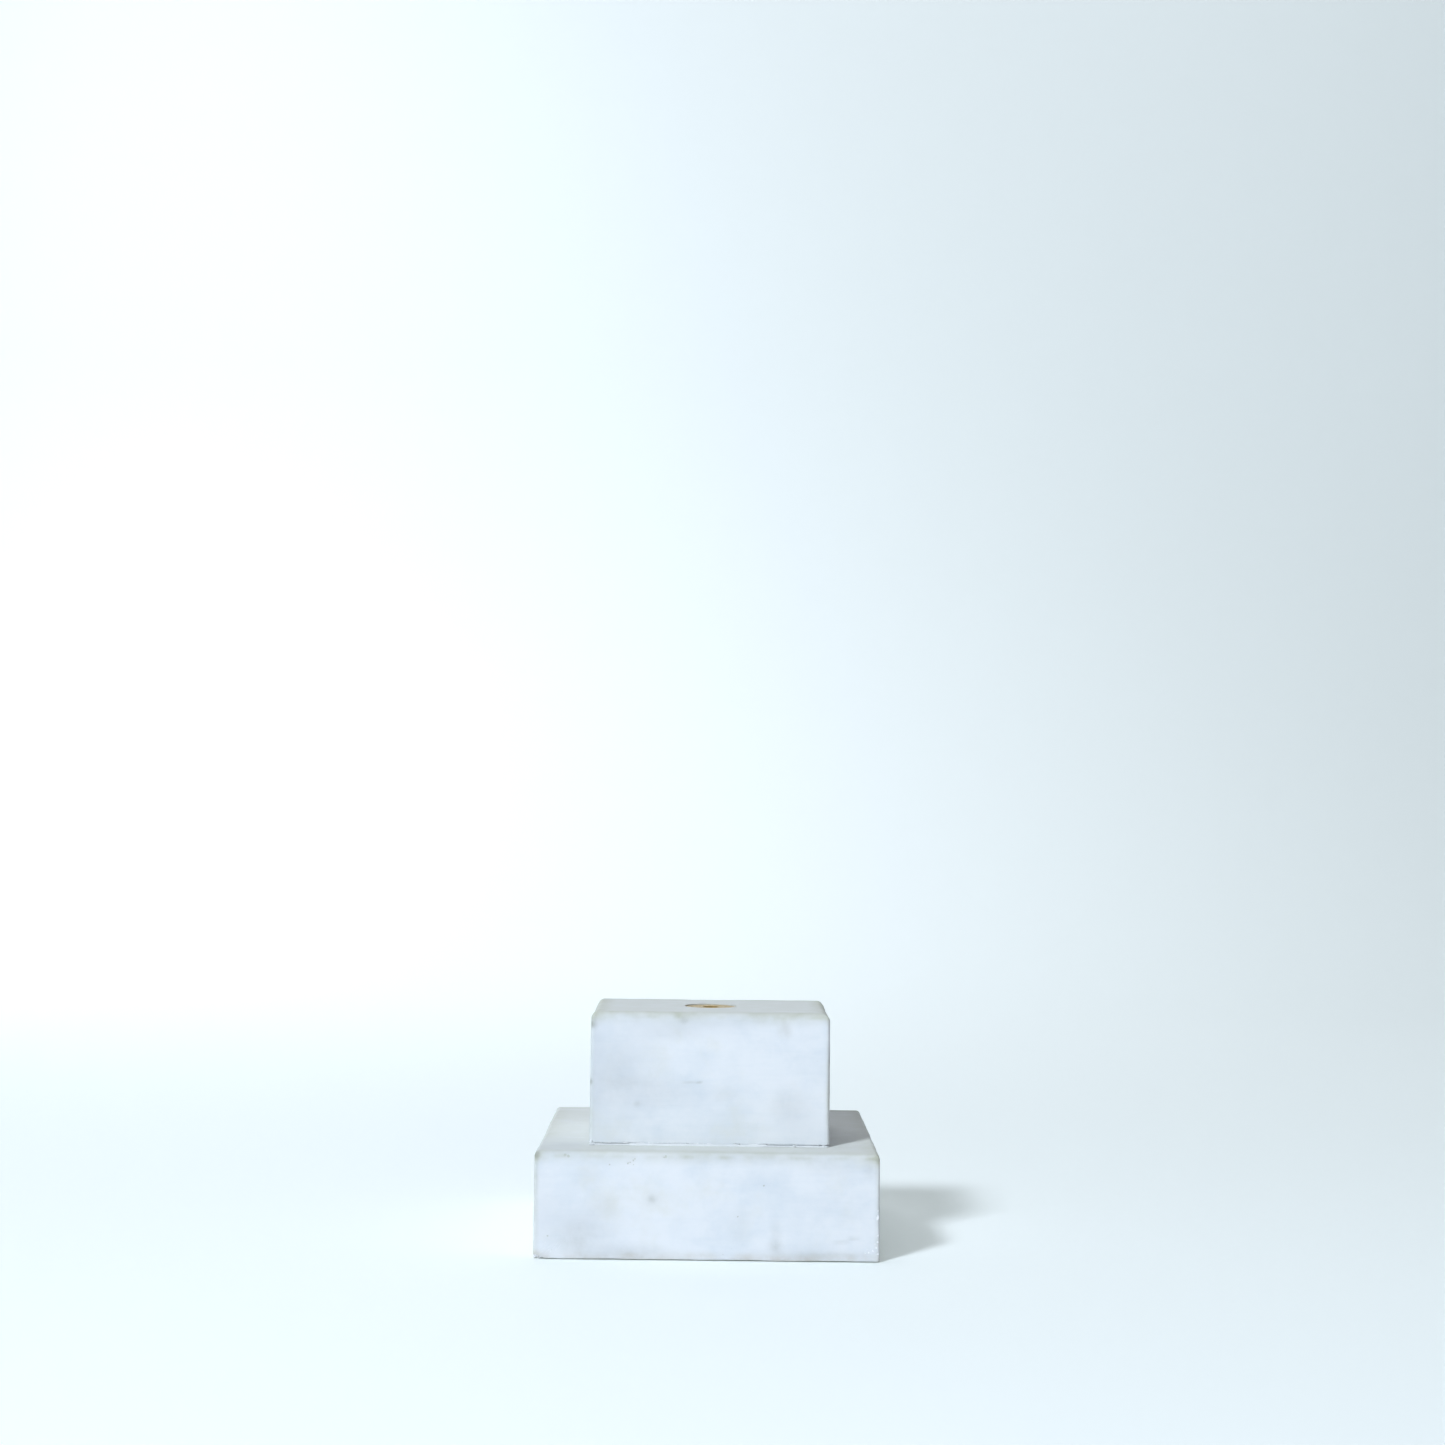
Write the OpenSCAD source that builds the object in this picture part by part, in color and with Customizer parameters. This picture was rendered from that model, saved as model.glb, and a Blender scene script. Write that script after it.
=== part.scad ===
// Display plinth: two hollow plaster castings, bedded together and clamped by a central tie rod.
// Millimetres, +Z up, front faces -Y. The origin is the centre of the footprint, on the surface below the pads.

/* [Lower tier] */
// Width of the lower tier, along X
lower_w = 170; // [140:1:220]
// Depth of the lower tier, along Y
lower_d = 170; // [140:1:220]
// Height of the lower casting
lower_h = 52; // [43:1:80]
// Wall of the lower casting
lower_wall = 13; // [10:0.5:18]
// Thickness of the lower casting's top
lower_top = 14; // [10:0.5:18]
// Radius of the lower casting's upright edges and top edges
lower_edge_r = 3; // [1:0.5:6]

/* [Upper tier] */
// Width of the upper tier, along X
upper_w = 120.5; // [90:0.5:150]
// Depth of the upper tier, along Y
upper_d = 82; // [66:1:110]
// Height of the upper casting
upper_h = 65.4; // [54:0.2:90]
// Wall of the upper casting
upper_wall = 12; // [10:0.5:16]
// Thickness of the upper casting's top
upper_top = 14; // [10:0.5:18]
// Radius of the upper casting's upright edges and top edges
upper_edge_r = 4; // [1:0.5:6]
// How far the upper tier sits to the right of the middle
upper_x = 0.8; // [-4:0.1:4]
// Ledge in front of the upper tier
front_ledge = 22.7; // [10:0.1:30]

/* [Hollows and lining] */
// Radius of the hollows' upright corners
hollow_r = 6; // [2:0.5:10]
// Thickness of the plaster-soaked scrim that lines each hollow
scrim_t = 1.2; // [0.8:0.1:2]
// How far the lining stops short of each open rim
scrim_margin = 2; // [1:0.5:4]

/* [Bed between the tiers] */
// Thickness of the plaster bed
bed_t = 1; // [0.6:0.1:2]
// How far the bed stops short of the upper tier's faces
bed_inset = 2; // [1:0.25:3]
// Width of the plaster squeezed out at the front
squeeze_w = 69; // [40:1:80]
// Middle of the squeezed-out plaster, from the upper tier's middle
squeeze_x = -4; // [-5:0.5:5]
// How far it stands proud of the upper tier's front
squeeze_out = 0.8; // [0.4:0.1:1.5]

/* [Timber] */
// Thickness of the rim laths
lath_t = 6; // [4:0.5:8]
// How far the rim laths stand above the open rim
lath_lift = 4; // [3:0.5:6]
// Width of the cross battens
batten_w = 28; // [22:1:32]
// Thickness of the cross battens
batten_t = 12; // [9:0.5:16]

/* [Plaster wads] */
// Thickness of a wad over a batten
wad_t = 4; // [3:0.5:6]
// Length of a wad along its batten
wad_len = 22; // [15:1:26]
// How much wider a wad is at the casting than at its crown, on each side
wad_flare = 6; // [3:0.5:9]
// Radius of a wad in a corner of the rim laths
corner_wad_r = 22; // [14:1:26]
// Height of a wad in a corner of the rim laths
corner_wad_h = 7; // [5:0.5:10]

/* [Clamp] */
// Nominal thread of the tie rod and of the socket
thread_d = 8; // [6:1:10]
// Wall of the socket's sleeve round its thread
sleeve_wall = 2; // [1.5:0.1:3]
// Length of the whole socket
socket_len = 44; // [42:1:50]
// Diameter of the socket's flange
flange_d = 26; // [20:1:32]
// Thickness of the socket's flange
flange_t = 3; // [2:0.5:4]
// How far the flange lies below the top face
flange_sink = 0.5; // [0.2:0.1:1]
// Depth of the tapped hole that takes the exhibit's stud
stud_depth = 22; // [16:1:24]
// Depth of the tapped hole that takes the tie rod
rod_depth = 18; // [12:1:18]
// Side of the square plate washer
washer_side = 26; // [20:1:36]
// Thickness of the plate washer
washer_t = 3; // [2:0.5:4]
// Width of both nuts across their flats
nut_af = 13; // [13:0.5:17]
// Height of the clamp nut
nut_h = 6.5; // [5:0.5:8]
// Height of the lock nut
lock_nut_h = 4; // [3:0.5:5]
// Tie rod left below the lock nut
rod_tail = 3; // [2:0.5:4]

/* [Dowels] */
// Diameter of the locating dowels
dowel_d = 6; // [4:0.2:7.4]
// Dowel in the upper tier
dowel_up = 15; // [10:1:20]
// Dowel in the lower tier
dowel_down = 8; // [6:0.1:9]

/* [Pads] */
// Diameter of the felt pads
pad_d = 14; // [10:1:16]
// Thickness of the felt pads
pad_t = 0.8; // [0.6:0.1:3]
// From the lower tier's sides to the edges of the pads
pad_edge = 2; // [1:0.5:3]

/* [Clearances] */
// Round the rod and the sleeve where they pass through, on the radius
hole_clear = 0.5; // [0.3:0.1:1]
// Between a thread and its nut, on the radius
thread_clear = 0.1; // [0.05:0.05:0.2]
// Round a dowel, on the radius
dowel_clear = 0.15; // [0.1:0.05:0.3]
// Between timber or wads and what they lie against
soft_gap = 0.3; // [0.2:0.1:0.5]
// At the closed end of a blind hole
end_clear = 0.5; // [0.3:0.1:1]

/* [Hidden] */
$fn = 64;
eps = 0.01;

// Levels, from the surface up
lower_z = pad_t;
lower_top_z = lower_z + lower_h;
upper_z = lower_top_z + bed_t;
top_z = upper_z + upper_h;

// Middle of the upper tier, which is the clamp's axis
axis_x = upper_x;
axis_y = -lower_d / 2 + front_ledge + upper_d / 2;

// Hollows, and the room left inside their linings
lower_hollow = [lower_w - 2 * lower_wall, lower_d - 2 * lower_wall, lower_h - lower_top];
upper_hollow = [upper_w - 2 * upper_wall, upper_d - 2 * upper_wall, upper_h - upper_top];
lower_room = [for (size = lower_hollow) size - 2 * scrim_t];
upper_room = [for (size = upper_hollow) size - 2 * scrim_t];
lower_ceiling_z = lower_z + lower_hollow.z - scrim_t;
upper_ceiling_z = upper_z + upper_hollow.z - scrim_t;
lining_r = hollow_r + 2 * soft_gap;

// Clamp, from the top down
flange_z = top_z - flange_sink;
sleeve_z = flange_z - socket_len;
rod_top_z = sleeve_z + rod_depth - end_clear;
washer_z = lower_ceiling_z - batten_t - washer_t;
nut_z = washer_z - nut_h;
lock_nut_z = nut_z - lock_nut_h;
rod_z = lock_nut_z - rod_tail;
tapped_r = thread_d / 2;
sleeve_r = tapped_r + sleeve_wall;
rod_r = tapped_r - thread_clear;
rod_hole_r = tapped_r + hole_clear;
sleeve_hole_r = sleeve_r + hole_clear;

// Dowels stand in the middle of the bed's side strips
dowel_x = upper_w / 2 - (bed_inset + upper_wall) / 2;
dowel_z = lower_top_z - dowel_down;

// Rim laths reach up to the batten's wads. The long ones stop where the lining's corners begin to curve
lath_z = lower_z + lath_lift;
lath_h = lower_ceiling_z - batten_t - wad_t - soft_gap - lath_z;
lath_long = lower_room.x - 2 * (lining_r - scrim_t + soft_gap);
lath_short = lower_room.y - 2 * (lath_t + 2 * soft_gap);

pad_inset = pad_edge + pad_d / 2;

// Rectangle with round corners, centred on the origin
module rounded_rect(w, d, r) {
    square([w - 2 * r, d], center = true);
    square([w, d - 2 * r], center = true);
    for (x = [-1, 1], y = [-1, 1])
        translate([x * (w / 2 - r), y * (d / 2 - r)])
            circle(r);
}

// Upright rectangle on the X axis, with its two top corners round
module crowned_rect(w, h, r) {
    translate([-w / 2, 0])
        square([w, h - r]);
    translate([-w / 2 + r, 0])
        square([w - 2 * r, h]);
    for (x = [-1, 1])
        translate([x * (w / 2 - r), h - r])
            circle(r);
}

// Solid block with round upright edges and round top edges, and a sharp bottom edge
module cast_block(w, d, h, r) {
    intersection() {
        linear_extrude(h)
            rounded_rect(w, d, r);
        rotate([90, 0, 0])
            linear_extrude(d, center = true)
                crowned_rect(w, h, r);
        rotate([90, 0, 90])
            linear_extrude(w, center = true)
                crowned_rect(d, h, r);
    }
}

module at_axis(z) {
    translate([axis_x, axis_y, z])
        children();
}

module at_dowels(z) {
    for (side = [-1, 1])
        at_axis(z)
            translate([side * dowel_x, 0, 0])
                children();
}

// Box open below that fits a hollow, and stops short of its rim
module lining(hollow) {
    difference() {
        translate([0, 0, scrim_margin])
            linear_extrude(hollow.z - scrim_margin)
                rounded_rect(hollow.x, hollow.y, lining_r);
        linear_extrude(hollow.z - scrim_t)
            rounded_rect(hollow.x - 2 * scrim_t, hollow.y - 2 * scrim_t, lining_r - scrim_t);
    }
}

// Batten across a hollow, under its ceiling, with the clamp's hole
module batten(room_w, hole_r, hole_x) {
    difference() {
        translate([0, 0, -batten_t / 2])
            cube([room_w - 2 * soft_gap, batten_w, batten_t], center = true);
        translate([hole_x, 0, -batten_t - eps])
            cylinder(r = hole_r, h = batten_t + 2 * eps);
    }
}

// Wads over the two ends of such a batten, flared where they meet the casting
module batten_wads(room_w) {
    half = batten_w / 2 + wad_t;
    drop = batten_t + wad_t;
    for (side = [0, 1])
        mirror([side, 0, 0])
            translate([room_w / 2 - soft_gap - wad_len, 0, 0])
                rotate([90, 0, 90])
                    linear_extrude(wad_len)
                        difference() {
                            polygon([[-half - wad_flare, 0], [-half, -drop], [half, -drop], [half + wad_flare, 0]]);
                            translate([-batten_w / 2 - soft_gap, -batten_t - soft_gap])
                                square([batten_w + 2 * soft_gap, batten_t + 2 * soft_gap]);
                        }
}

// Hexagonal nut with a plain bore at the thread's nominal size
module nut(h) {
    difference() {
        cylinder(d = nut_af / cos(30), h = h, $fn = 6);
        translate([0, 0, -eps])
            cylinder(r = tapped_r, h = h + 2 * eps);
    }
}

module rim_lath(length) {
    translate([-length / 2, -lath_t / 2, lath_z])
        cube([length, lath_t, lath_h]);
}

module dowel(side) {
    at_axis(dowel_z + end_clear)
        translate([side * dowel_x, 0, 0])
            cylinder(d = dowel_d, h = dowel_down + bed_t + dowel_up - 2 * end_clear);
}

module lower_tier() {
    color("#E6EBED")
        difference() {
            translate([0, 0, lower_z])
                cast_block(lower_w, lower_d, lower_h, lower_edge_r);
            translate([0, 0, lower_z - eps])
                linear_extrude(lower_hollow.z + eps)
                    rounded_rect(lower_hollow.x, lower_hollow.y, hollow_r);
            at_axis(lower_z)
                cylinder(r = rod_hole_r, h = lower_h + eps);
            at_dowels(dowel_z)
                cylinder(r = dowel_d / 2 + dowel_clear, h = dowel_down + eps);
        }
}

module upper_tier() {
    color("#EEF2F4")
        difference() {
            at_axis(upper_z)
                cast_block(upper_w, upper_d, upper_h, upper_edge_r);
            at_axis(upper_z - eps)
                linear_extrude(upper_hollow.z + eps)
                    rounded_rect(upper_hollow.x, upper_hollow.y, hollow_r);
            at_axis(upper_z)
                cylinder(r = sleeve_hole_r, h = upper_h + eps);
            at_axis(flange_z - flange_t)
                cylinder(r = flange_d / 2 + hole_clear, h = flange_t + flange_sink + eps);
            at_dowels(upper_z - eps)
                cylinder(r = dowel_d / 2 + dowel_clear, h = dowel_up + eps);
        }
}

module joint_bed() {
    color("#F7F9FA")
        difference() {
            at_axis(lower_top_z)
                linear_extrude(bed_t)
                    difference() {
                        union() {
                            rounded_rect(upper_w - 2 * bed_inset, upper_d - 2 * bed_inset, upper_edge_r);
                            translate([squeeze_x - squeeze_w / 2, -upper_d / 2 - squeeze_out])
                                square([squeeze_w, upper_wall]);
                        }
                        rounded_rect(upper_hollow.x, upper_hollow.y, hollow_r);
                    }
            at_dowels(lower_top_z - eps)
                cylinder(r = dowel_d / 2 + dowel_clear, h = bed_t + 2 * eps);
        }
}

module lower_scrim() {
    color("#CDBE97")
        difference() {
            translate([0, 0, lower_z])
                lining(lower_hollow);
            at_axis(lower_z)
                cylinder(r = rod_hole_r, h = lower_h);
        }
}

module upper_scrim() {
    color("#CDBE97")
        difference() {
            at_axis(upper_z)
                lining(upper_hollow);
            at_axis(upper_z)
                cylinder(r = sleeve_hole_r, h = upper_h);
        }
}

module rim_lath_front() {
    color("#C79F68")
        translate([0, -lower_room.y / 2 + soft_gap + lath_t / 2, 0])
            rim_lath(lath_long);
}

module rim_lath_back() {
    color("#C79F68")
        translate([0, lower_room.y / 2 - soft_gap - lath_t / 2, 0])
            rim_lath(lath_long);
}

module rim_lath_left() {
    color("#BF955C")
        translate([-lower_room.x / 2 + soft_gap + lath_t / 2, 0, 0])
            rotate([0, 0, 90])
                rim_lath(lath_short);
}

module rim_lath_right() {
    color("#BF955C")
        translate([lower_room.x / 2 - soft_gap - lath_t / 2, 0, 0])
            rotate([0, 0, 90])
                rim_lath(lath_short);
}

// Quarter-round wads that sit on the laths in the four corners
module rim_lath_wads() {
    color("#E2E3DE")
        for (x = [0, 1], y = [0, 1])
            mirror([x, 0, 0])
                mirror([0, y, 0])
                    intersection() {
                        translate([lower_room.x / 2, lower_room.y / 2, lath_z + lath_h])
                            cylinder(r = corner_wad_r, h = corner_wad_h);
                        translate([0, 0, lath_z + lath_h])
                            linear_extrude(corner_wad_h)
                                rounded_rect(lower_room.x - 2 * soft_gap, lower_room.y - 2 * soft_gap, lining_r);
                    }
}

module lower_batten() {
    color("#C79F68")
        translate([0, axis_y, lower_ceiling_z])
            batten(lower_room.x, rod_hole_r, axis_x);
}

module lower_batten_wads() {
    color("#E2E3DE")
        translate([0, axis_y, lower_ceiling_z])
            batten_wads(lower_room.x);
}

module upper_batten() {
    color("#C79F68")
        at_axis(upper_ceiling_z)
            batten(upper_room.x, sleeve_hole_r, 0);
}

module upper_batten_wads() {
    color("#E2E3DE")
        at_axis(upper_ceiling_z)
            batten_wads(upper_room.x);
}

// Flanged sleeve, tapped from both ends, with a web between the two holes
module top_socket() {
    color("#C9A94F")
        difference() {
            union() {
                at_axis(sleeve_z)
                    cylinder(r = sleeve_r, h = socket_len);
                at_axis(flange_z - flange_t)
                    cylinder(d = flange_d, h = flange_t);
            }
            at_axis(flange_z - stud_depth)
                cylinder(r = tapped_r, h = stud_depth + eps);
            at_axis(sleeve_z - eps)
                cylinder(r = tapped_r, h = rod_depth + eps);
        }
}

module tie_rod() {
    color("silver")
        at_axis(rod_z)
            cylinder(r = rod_r, h = rod_top_z - rod_z);
}

module plate_washer() {
    color("#B8BCC0")
        at_axis(washer_z)
            difference() {
                translate([-washer_side / 2, -washer_side / 2, 0])
                    cube([washer_side, washer_side, washer_t]);
                translate([0, 0, -eps])
                    cylinder(r = rod_hole_r, h = washer_t + 2 * eps);
            }
}

module clamp_nut() {
    color("silver")
        at_axis(nut_z)
            nut(nut_h);
}

module lock_nut() {
    color("#A9AEB3")
        at_axis(lock_nut_z)
            nut(lock_nut_h);
}

module dowel_left() {
    color("#D2AE7A")
        dowel(-1);
}

module dowel_right() {
    color("#D2AE7A")
        dowel(1);
}

module base_pads() {
    color("#5B6468")
        for (x = [-1, 1], y = [-1, 1])
            translate([x * (lower_w / 2 - pad_inset), y * (lower_d / 2 - pad_inset), 0])
                cylinder(d = pad_d, h = pad_t);
}

lower_tier();
upper_tier();
joint_bed();
lower_scrim();
upper_scrim();
rim_lath_front();
rim_lath_back();
rim_lath_left();
rim_lath_right();
rim_lath_wads();
lower_batten();
lower_batten_wads();
upper_batten();
upper_batten_wads();
top_socket();
tie_rod();
plate_washer();
clamp_nut();
lock_nut();
dowel_left();
dowel_right();
base_pads();
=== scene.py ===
"""Display plinth: two hollow plaster castings, bedded together and clamped by a tie rod."""
import math
import random

import bmesh
import bpy
import numpy as np
from mathutils import Euler, Matrix, Vector, noise


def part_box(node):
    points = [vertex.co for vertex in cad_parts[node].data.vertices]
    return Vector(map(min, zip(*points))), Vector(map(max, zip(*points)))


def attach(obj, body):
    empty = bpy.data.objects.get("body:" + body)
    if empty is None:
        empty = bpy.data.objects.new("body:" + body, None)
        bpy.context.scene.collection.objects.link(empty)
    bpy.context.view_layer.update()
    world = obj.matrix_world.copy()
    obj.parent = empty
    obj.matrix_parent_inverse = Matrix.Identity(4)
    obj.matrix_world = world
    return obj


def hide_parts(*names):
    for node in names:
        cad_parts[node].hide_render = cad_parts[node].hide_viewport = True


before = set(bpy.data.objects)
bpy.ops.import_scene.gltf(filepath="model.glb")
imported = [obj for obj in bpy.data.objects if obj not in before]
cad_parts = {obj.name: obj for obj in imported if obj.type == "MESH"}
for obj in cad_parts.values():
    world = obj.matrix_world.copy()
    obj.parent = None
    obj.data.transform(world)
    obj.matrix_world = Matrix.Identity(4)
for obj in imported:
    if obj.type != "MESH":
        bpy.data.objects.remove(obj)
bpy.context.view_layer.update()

# ------------------------ lower casting
# A square hollow block of gypsum plaster, cast face down in a rubbed wooden mould. The mould rounds its
# top and upright edges, and the open side leaves a sharp, ragged foot. The castings are left bare and
# pick up grime.
MM = 0.001
LOWER_LOW, LOWER_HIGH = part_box("lower_tier")
UPPER_LOW, UPPER_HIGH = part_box("upper_tier")
ROD_LOW, ROD_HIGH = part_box("tie_rod")
SCRIM_LOW, SCRIM_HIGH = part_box("lower_scrim")
AXIS = (ROD_LOW + ROD_HIGH) / 2
LOWER_WALL = SCRIM_LOW.x - LOWER_LOW.x
HOLLOW_CORNER = 6 * MM
EDGE_CELLS = 8


def ruled(low, high, band, step):
    """Cell borders from low to high: EDGE_CELLS in a band at each end, and about a step apart between."""
    cells = max(2, round((high - low - 2 * band) / step))
    first = np.linspace(low, low + band, EDGE_CELLS, endpoint=False)
    middle = np.linspace(low + band, high - band, cells, endpoint=False)
    last = np.linspace(high - band, high, EDGE_CELLS + 1)
    return np.concatenate([first, middle, last])


def gridded(xs, ys, zs):
    """Points and quads of a closed box whose six faces are ruled by these lines."""
    nx, ny, nz = len(xs) - 1, len(ys) - 1, len(zs) - 1
    sides = (
        (nx, ny, lambda a, b: (a, b, nz)),
        (ny, nx, lambda a, b: (b, a, 0)),
        (nx, nz, lambda a, b: (a, 0, b)),
        (nz, nx, lambda a, b: (b, ny, a)),
        (ny, nz, lambda a, b: (nx, a, b)),
        (nz, ny, lambda a, b: (0, b, a)),
    )
    steps = ((0, 0), (1, 0), (1, 1), (0, 1))
    corners = [at(a + i, b + j) for rows, columns, at in sides
               for a in range(rows) for b in range(columns) for i, j in steps]
    index, quads = np.unique(np.array(corners), axis=0, return_inverse=True)
    points = np.column_stack([xs[index[:, 0]], ys[index[:, 1]], zs[index[:, 2]]])
    return points, quads.reshape(-1, 4)


def ruled_block(low, high, band, step):
    """Points and quads of a closed box. Its bands and steps may differ from axis to axis."""
    spans = zip(low, high, np.broadcast_to(band, 3), np.broadcast_to(step, 3))
    return gridded(*[ruled(*span) for span in spans])


def rounded(points, corner, crown, foot):
    """Rounds a ruled block: its upright corners, its top edge (crown) and its bottom edge (foot)."""
    low, high = points.min(0), points.max(0)
    middle, half = (low + high) / 2, (high - low) / 2
    u, v, w = (points - middle).T
    upper = w > 0
    radius = np.where(upper, crown, foot)
    inset = np.minimum(half[0] - abs(u), half[1] - abs(v))
    drop = half[2] - abs(w)
    turn = np.clip(np.where(drop > 0, -drop, inset) / radius, -1, 1)
    angle = math.pi / 4 * (1 + turn)
    ring = np.where(turn < 1, radius * (1 - np.cos(angle)), inset)
    fall = np.where(turn > -1, radius * (1 - np.sin(angle)), drop)
    reach = [half[k] - ring for k in (0, 1)]
    scaled = [c * reach[k] / np.maximum(half[k] - inset, 1e-9) for k, c in enumerate((u, v))]
    arc = np.maximum(corner - ring, 1e-9)
    along = [reach[k] - abs(scaled[k]) for k in (0, 1)]
    bend = math.pi / 4 * (1 + (along[0] - along[1]) / arc)
    on_arc = np.maximum(along[0], along[1]) < arc
    x = np.where(on_arc, np.sign(u) * (reach[0] - arc + arc * np.cos(bend)), scaled[0])
    y = np.where(on_arc, np.sign(v) * (reach[1] - arc + arc * np.sin(bend)), scaled[1])
    z = np.where(upper, half[2] - fall, fall - half[2])
    return np.column_stack([x, y, z]) + middle


def drafted(points, draft):
    """Narrows a block evenly towards its top, by this much on each side."""
    low, high = points.min(0), points.max(0)
    middle, half = (low + high) / 2, (high - low) / 2
    rise = (points[:, 2] - low[2]) / (high[2] - low[2])
    slim = points.copy()
    for k in (0, 1):
        slim[:, k] = middle[k] + (points[:, k] - middle[k]) * (1 - draft * rise / half[k])
    return slim


def lumps(points, size, seed):
    """Smooth noise from about -1 to 1 at each point, with lumps about this size."""
    shift = Vector((seed * 17.3, seed * 5.1, -seed * 9.7))
    return np.array([noise.noise(Vector(p) / size + shift) for p in points])


def piece_from(name, mesh, material):
    """Puts a mesh of one material in the scene as a piece."""
    mesh.materials.append(material)
    obj = bpy.data.objects.new(name, mesh)
    bpy.context.scene.collection.objects.link(obj)
    return obj


def piece_of(name, points, faces, material):
    mesh = bpy.data.meshes.new(name)
    mesh.from_pydata(np.asarray(points).tolist(), [], [list(face) for face in faces])
    mesh.update()
    return piece_from(name, mesh, material)


def plain_box(name, low, high, material):
    return piece_of(name, *gridded(*[np.linspace(*span, 3) for span in zip(low, high)]), material)


def set_piece(name, loose, material):
    """Makes a piece of a bmesh."""
    mesh = bpy.data.meshes.new(name)
    loose.to_mesh(mesh)
    loose.free()
    return piece_from(name, mesh, material)


def rows_of(block, key):
    """A mesh's vertex places or normals, one row for each vertex."""
    values = np.zeros(len(block) * 3)
    block.foreach_get(key, values)
    return values.reshape(-1, 3)


def vertices(piece):
    return rows_of(piece.data.vertices, "co")


def normals(piece):
    return rows_of(piece.data.vertex_normals, "vector")


def moved(piece, places):
    piece.data.vertices.foreach_set("co", places.ravel())
    piece.data.update()
    return piece


def swollen(piece, amounts):
    """Moves each vertex along its normal."""
    return moved(piece, vertices(piece) + normals(piece) * amounts[:, None])


def carved(piece, cutter, operation="DIFFERENCE"):
    """Cuts a solid out of a solid piece, or keeps what they share. Cut faces take the cutter's material."""
    cut = piece.modifiers.new("cut", "BOOLEAN")
    cut.object, cut.operation, cut.solver, cut.material_mode = cutter, operation, "MANIFOLD", "TRANSFER"
    result = bpy.data.meshes.new_from_object(piece.evaluated_get(bpy.context.evaluated_depsgraph_get()))
    piece.modifiers.clear()
    piece.data, spent = result, piece.data
    bpy.data.meshes.remove(spent)
    bpy.data.objects.remove(cutter)
    return piece


def smooth(piece, crease=40):
    """Shades a piece smooth, except over edges sharper than this many degrees."""
    mesh = piece.data
    mesh.polygons.foreach_set("use_smooth", [True] * len(mesh.polygons))
    mesh.set_sharp_from_angle(angle=math.radians(crease))
    return piece


def fitted(piece, slot, *nodes):
    """A finished piece takes the place of its CAD nodes."""
    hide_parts(*nodes)
    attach(piece, "root")


def marked(piece, name, values):
    """Stores one number per vertex for the material to read."""
    made = piece.data.attributes.new(name, "FLOAT", "POINT")
    made.data.foreach_set("value", np.clip(values, 0, 1).astype(np.float32))


def tint(red, green, blue):
    """A display colour from 0 to 255, as the linear colour that a shader takes."""
    share = [c / 255 for c in (red, green, blue)]
    return (*[c / 12.92 if c <= 0.04045 else ((c + 0.055) / 1.055) ** 2.4 for c in share], 1)


def shader(tree, kind, sockets=(), **settings):
    """Adds a shader node. A socket's value is a number, a colour or another node's output."""
    made = tree.nodes.new("ShaderNode" + kind)
    for key, value in settings.items():
        setattr(made, key, value)
    for key, value in dict(sockets).items():
        if isinstance(value, bpy.types.NodeSocket):
            tree.links.new(value, made.inputs[key])
        else:
            made.inputs[key].default_value = value
    return made


def blended(tree, share, first, second):
    """Mixes two colours."""
    return shader(tree, "Mix", {0: share, 6: first, 7: second}, data_type="RGBA").outputs[2]


def maths(tree, operation, *terms):
    return shader(tree, "Math", dict(enumerate(terms)), operation=operation).outputs[0]


def product(tree, first, second):
    return maths(tree, "MULTIPLY", first, second)


def ramped(tree, value, low, high):
    """0 where value is at low, 1 at high, smooth between."""
    sockets = {"Value": value, "From Min": low, "From Max": high}
    return shader(tree, "MapRange", sockets, interpolation_type="SMOOTHSTEP").outputs[0]


def effect(name, inputs, outputs):
    """An empty node group and its inner ends. Each socket's kind is Float, Vector or Color."""
    group = bpy.data.node_groups.new(name, "ShaderNodeTree")
    for way, sockets in (("INPUT", inputs), ("OUTPUT", outputs)):
        for key, kind in sockets.items():
            group.interface.new_socket(key, in_out=way, socket_type="NodeSocket" + kind)
    return group, group.nodes.new("NodeGroupInput").outputs, group.nodes.new("NodeGroupOutput").inputs


def placed(tree, group, sockets):
    """Places a node group in a material, and returns its outputs."""
    return shader(tree, "Group", sockets, node_tree=group).outputs


def bare_material(name, **sockets):
    """A material with a Principled shader, whose constant values are set here, and its place coordinates."""
    material = bpy.data.materials.new(name)
    material.use_nodes = True
    tree = material.node_tree
    principled = tree.nodes["Principled BSDF"]
    for key, value in sockets.items():
        principled.inputs[key.replace("_", " ")].default_value = value
    return material, tree, principled.inputs, shader(tree, "TexCoord").outputs["Object"]


def skinned(tree, surface, colour, height, depth):
    """Links a material's colour and the height of its fine relief."""
    tree.links.new(colour, surface["Base Color"])
    relief = shader(tree, "Bump", {"Height": height, "Distance": depth})
    tree.links.new(relief.outputs[0], surface["Normal"])


def stretched(tree, place, scale):
    return shader(tree, "Mapping", {"Vector": place, "Scale": scale}).outputs[0]


def noise_at(tree, place, per_metre, detail=3, roughness=0.5):
    """Noise from 0 to 1 with this many lumps to a metre."""
    sockets = {"Vector": place, "Scale": per_metre, "Detail": detail, "Roughness": roughness}
    return shader(tree, "TexNoise", sockets).outputs[0]


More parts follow.
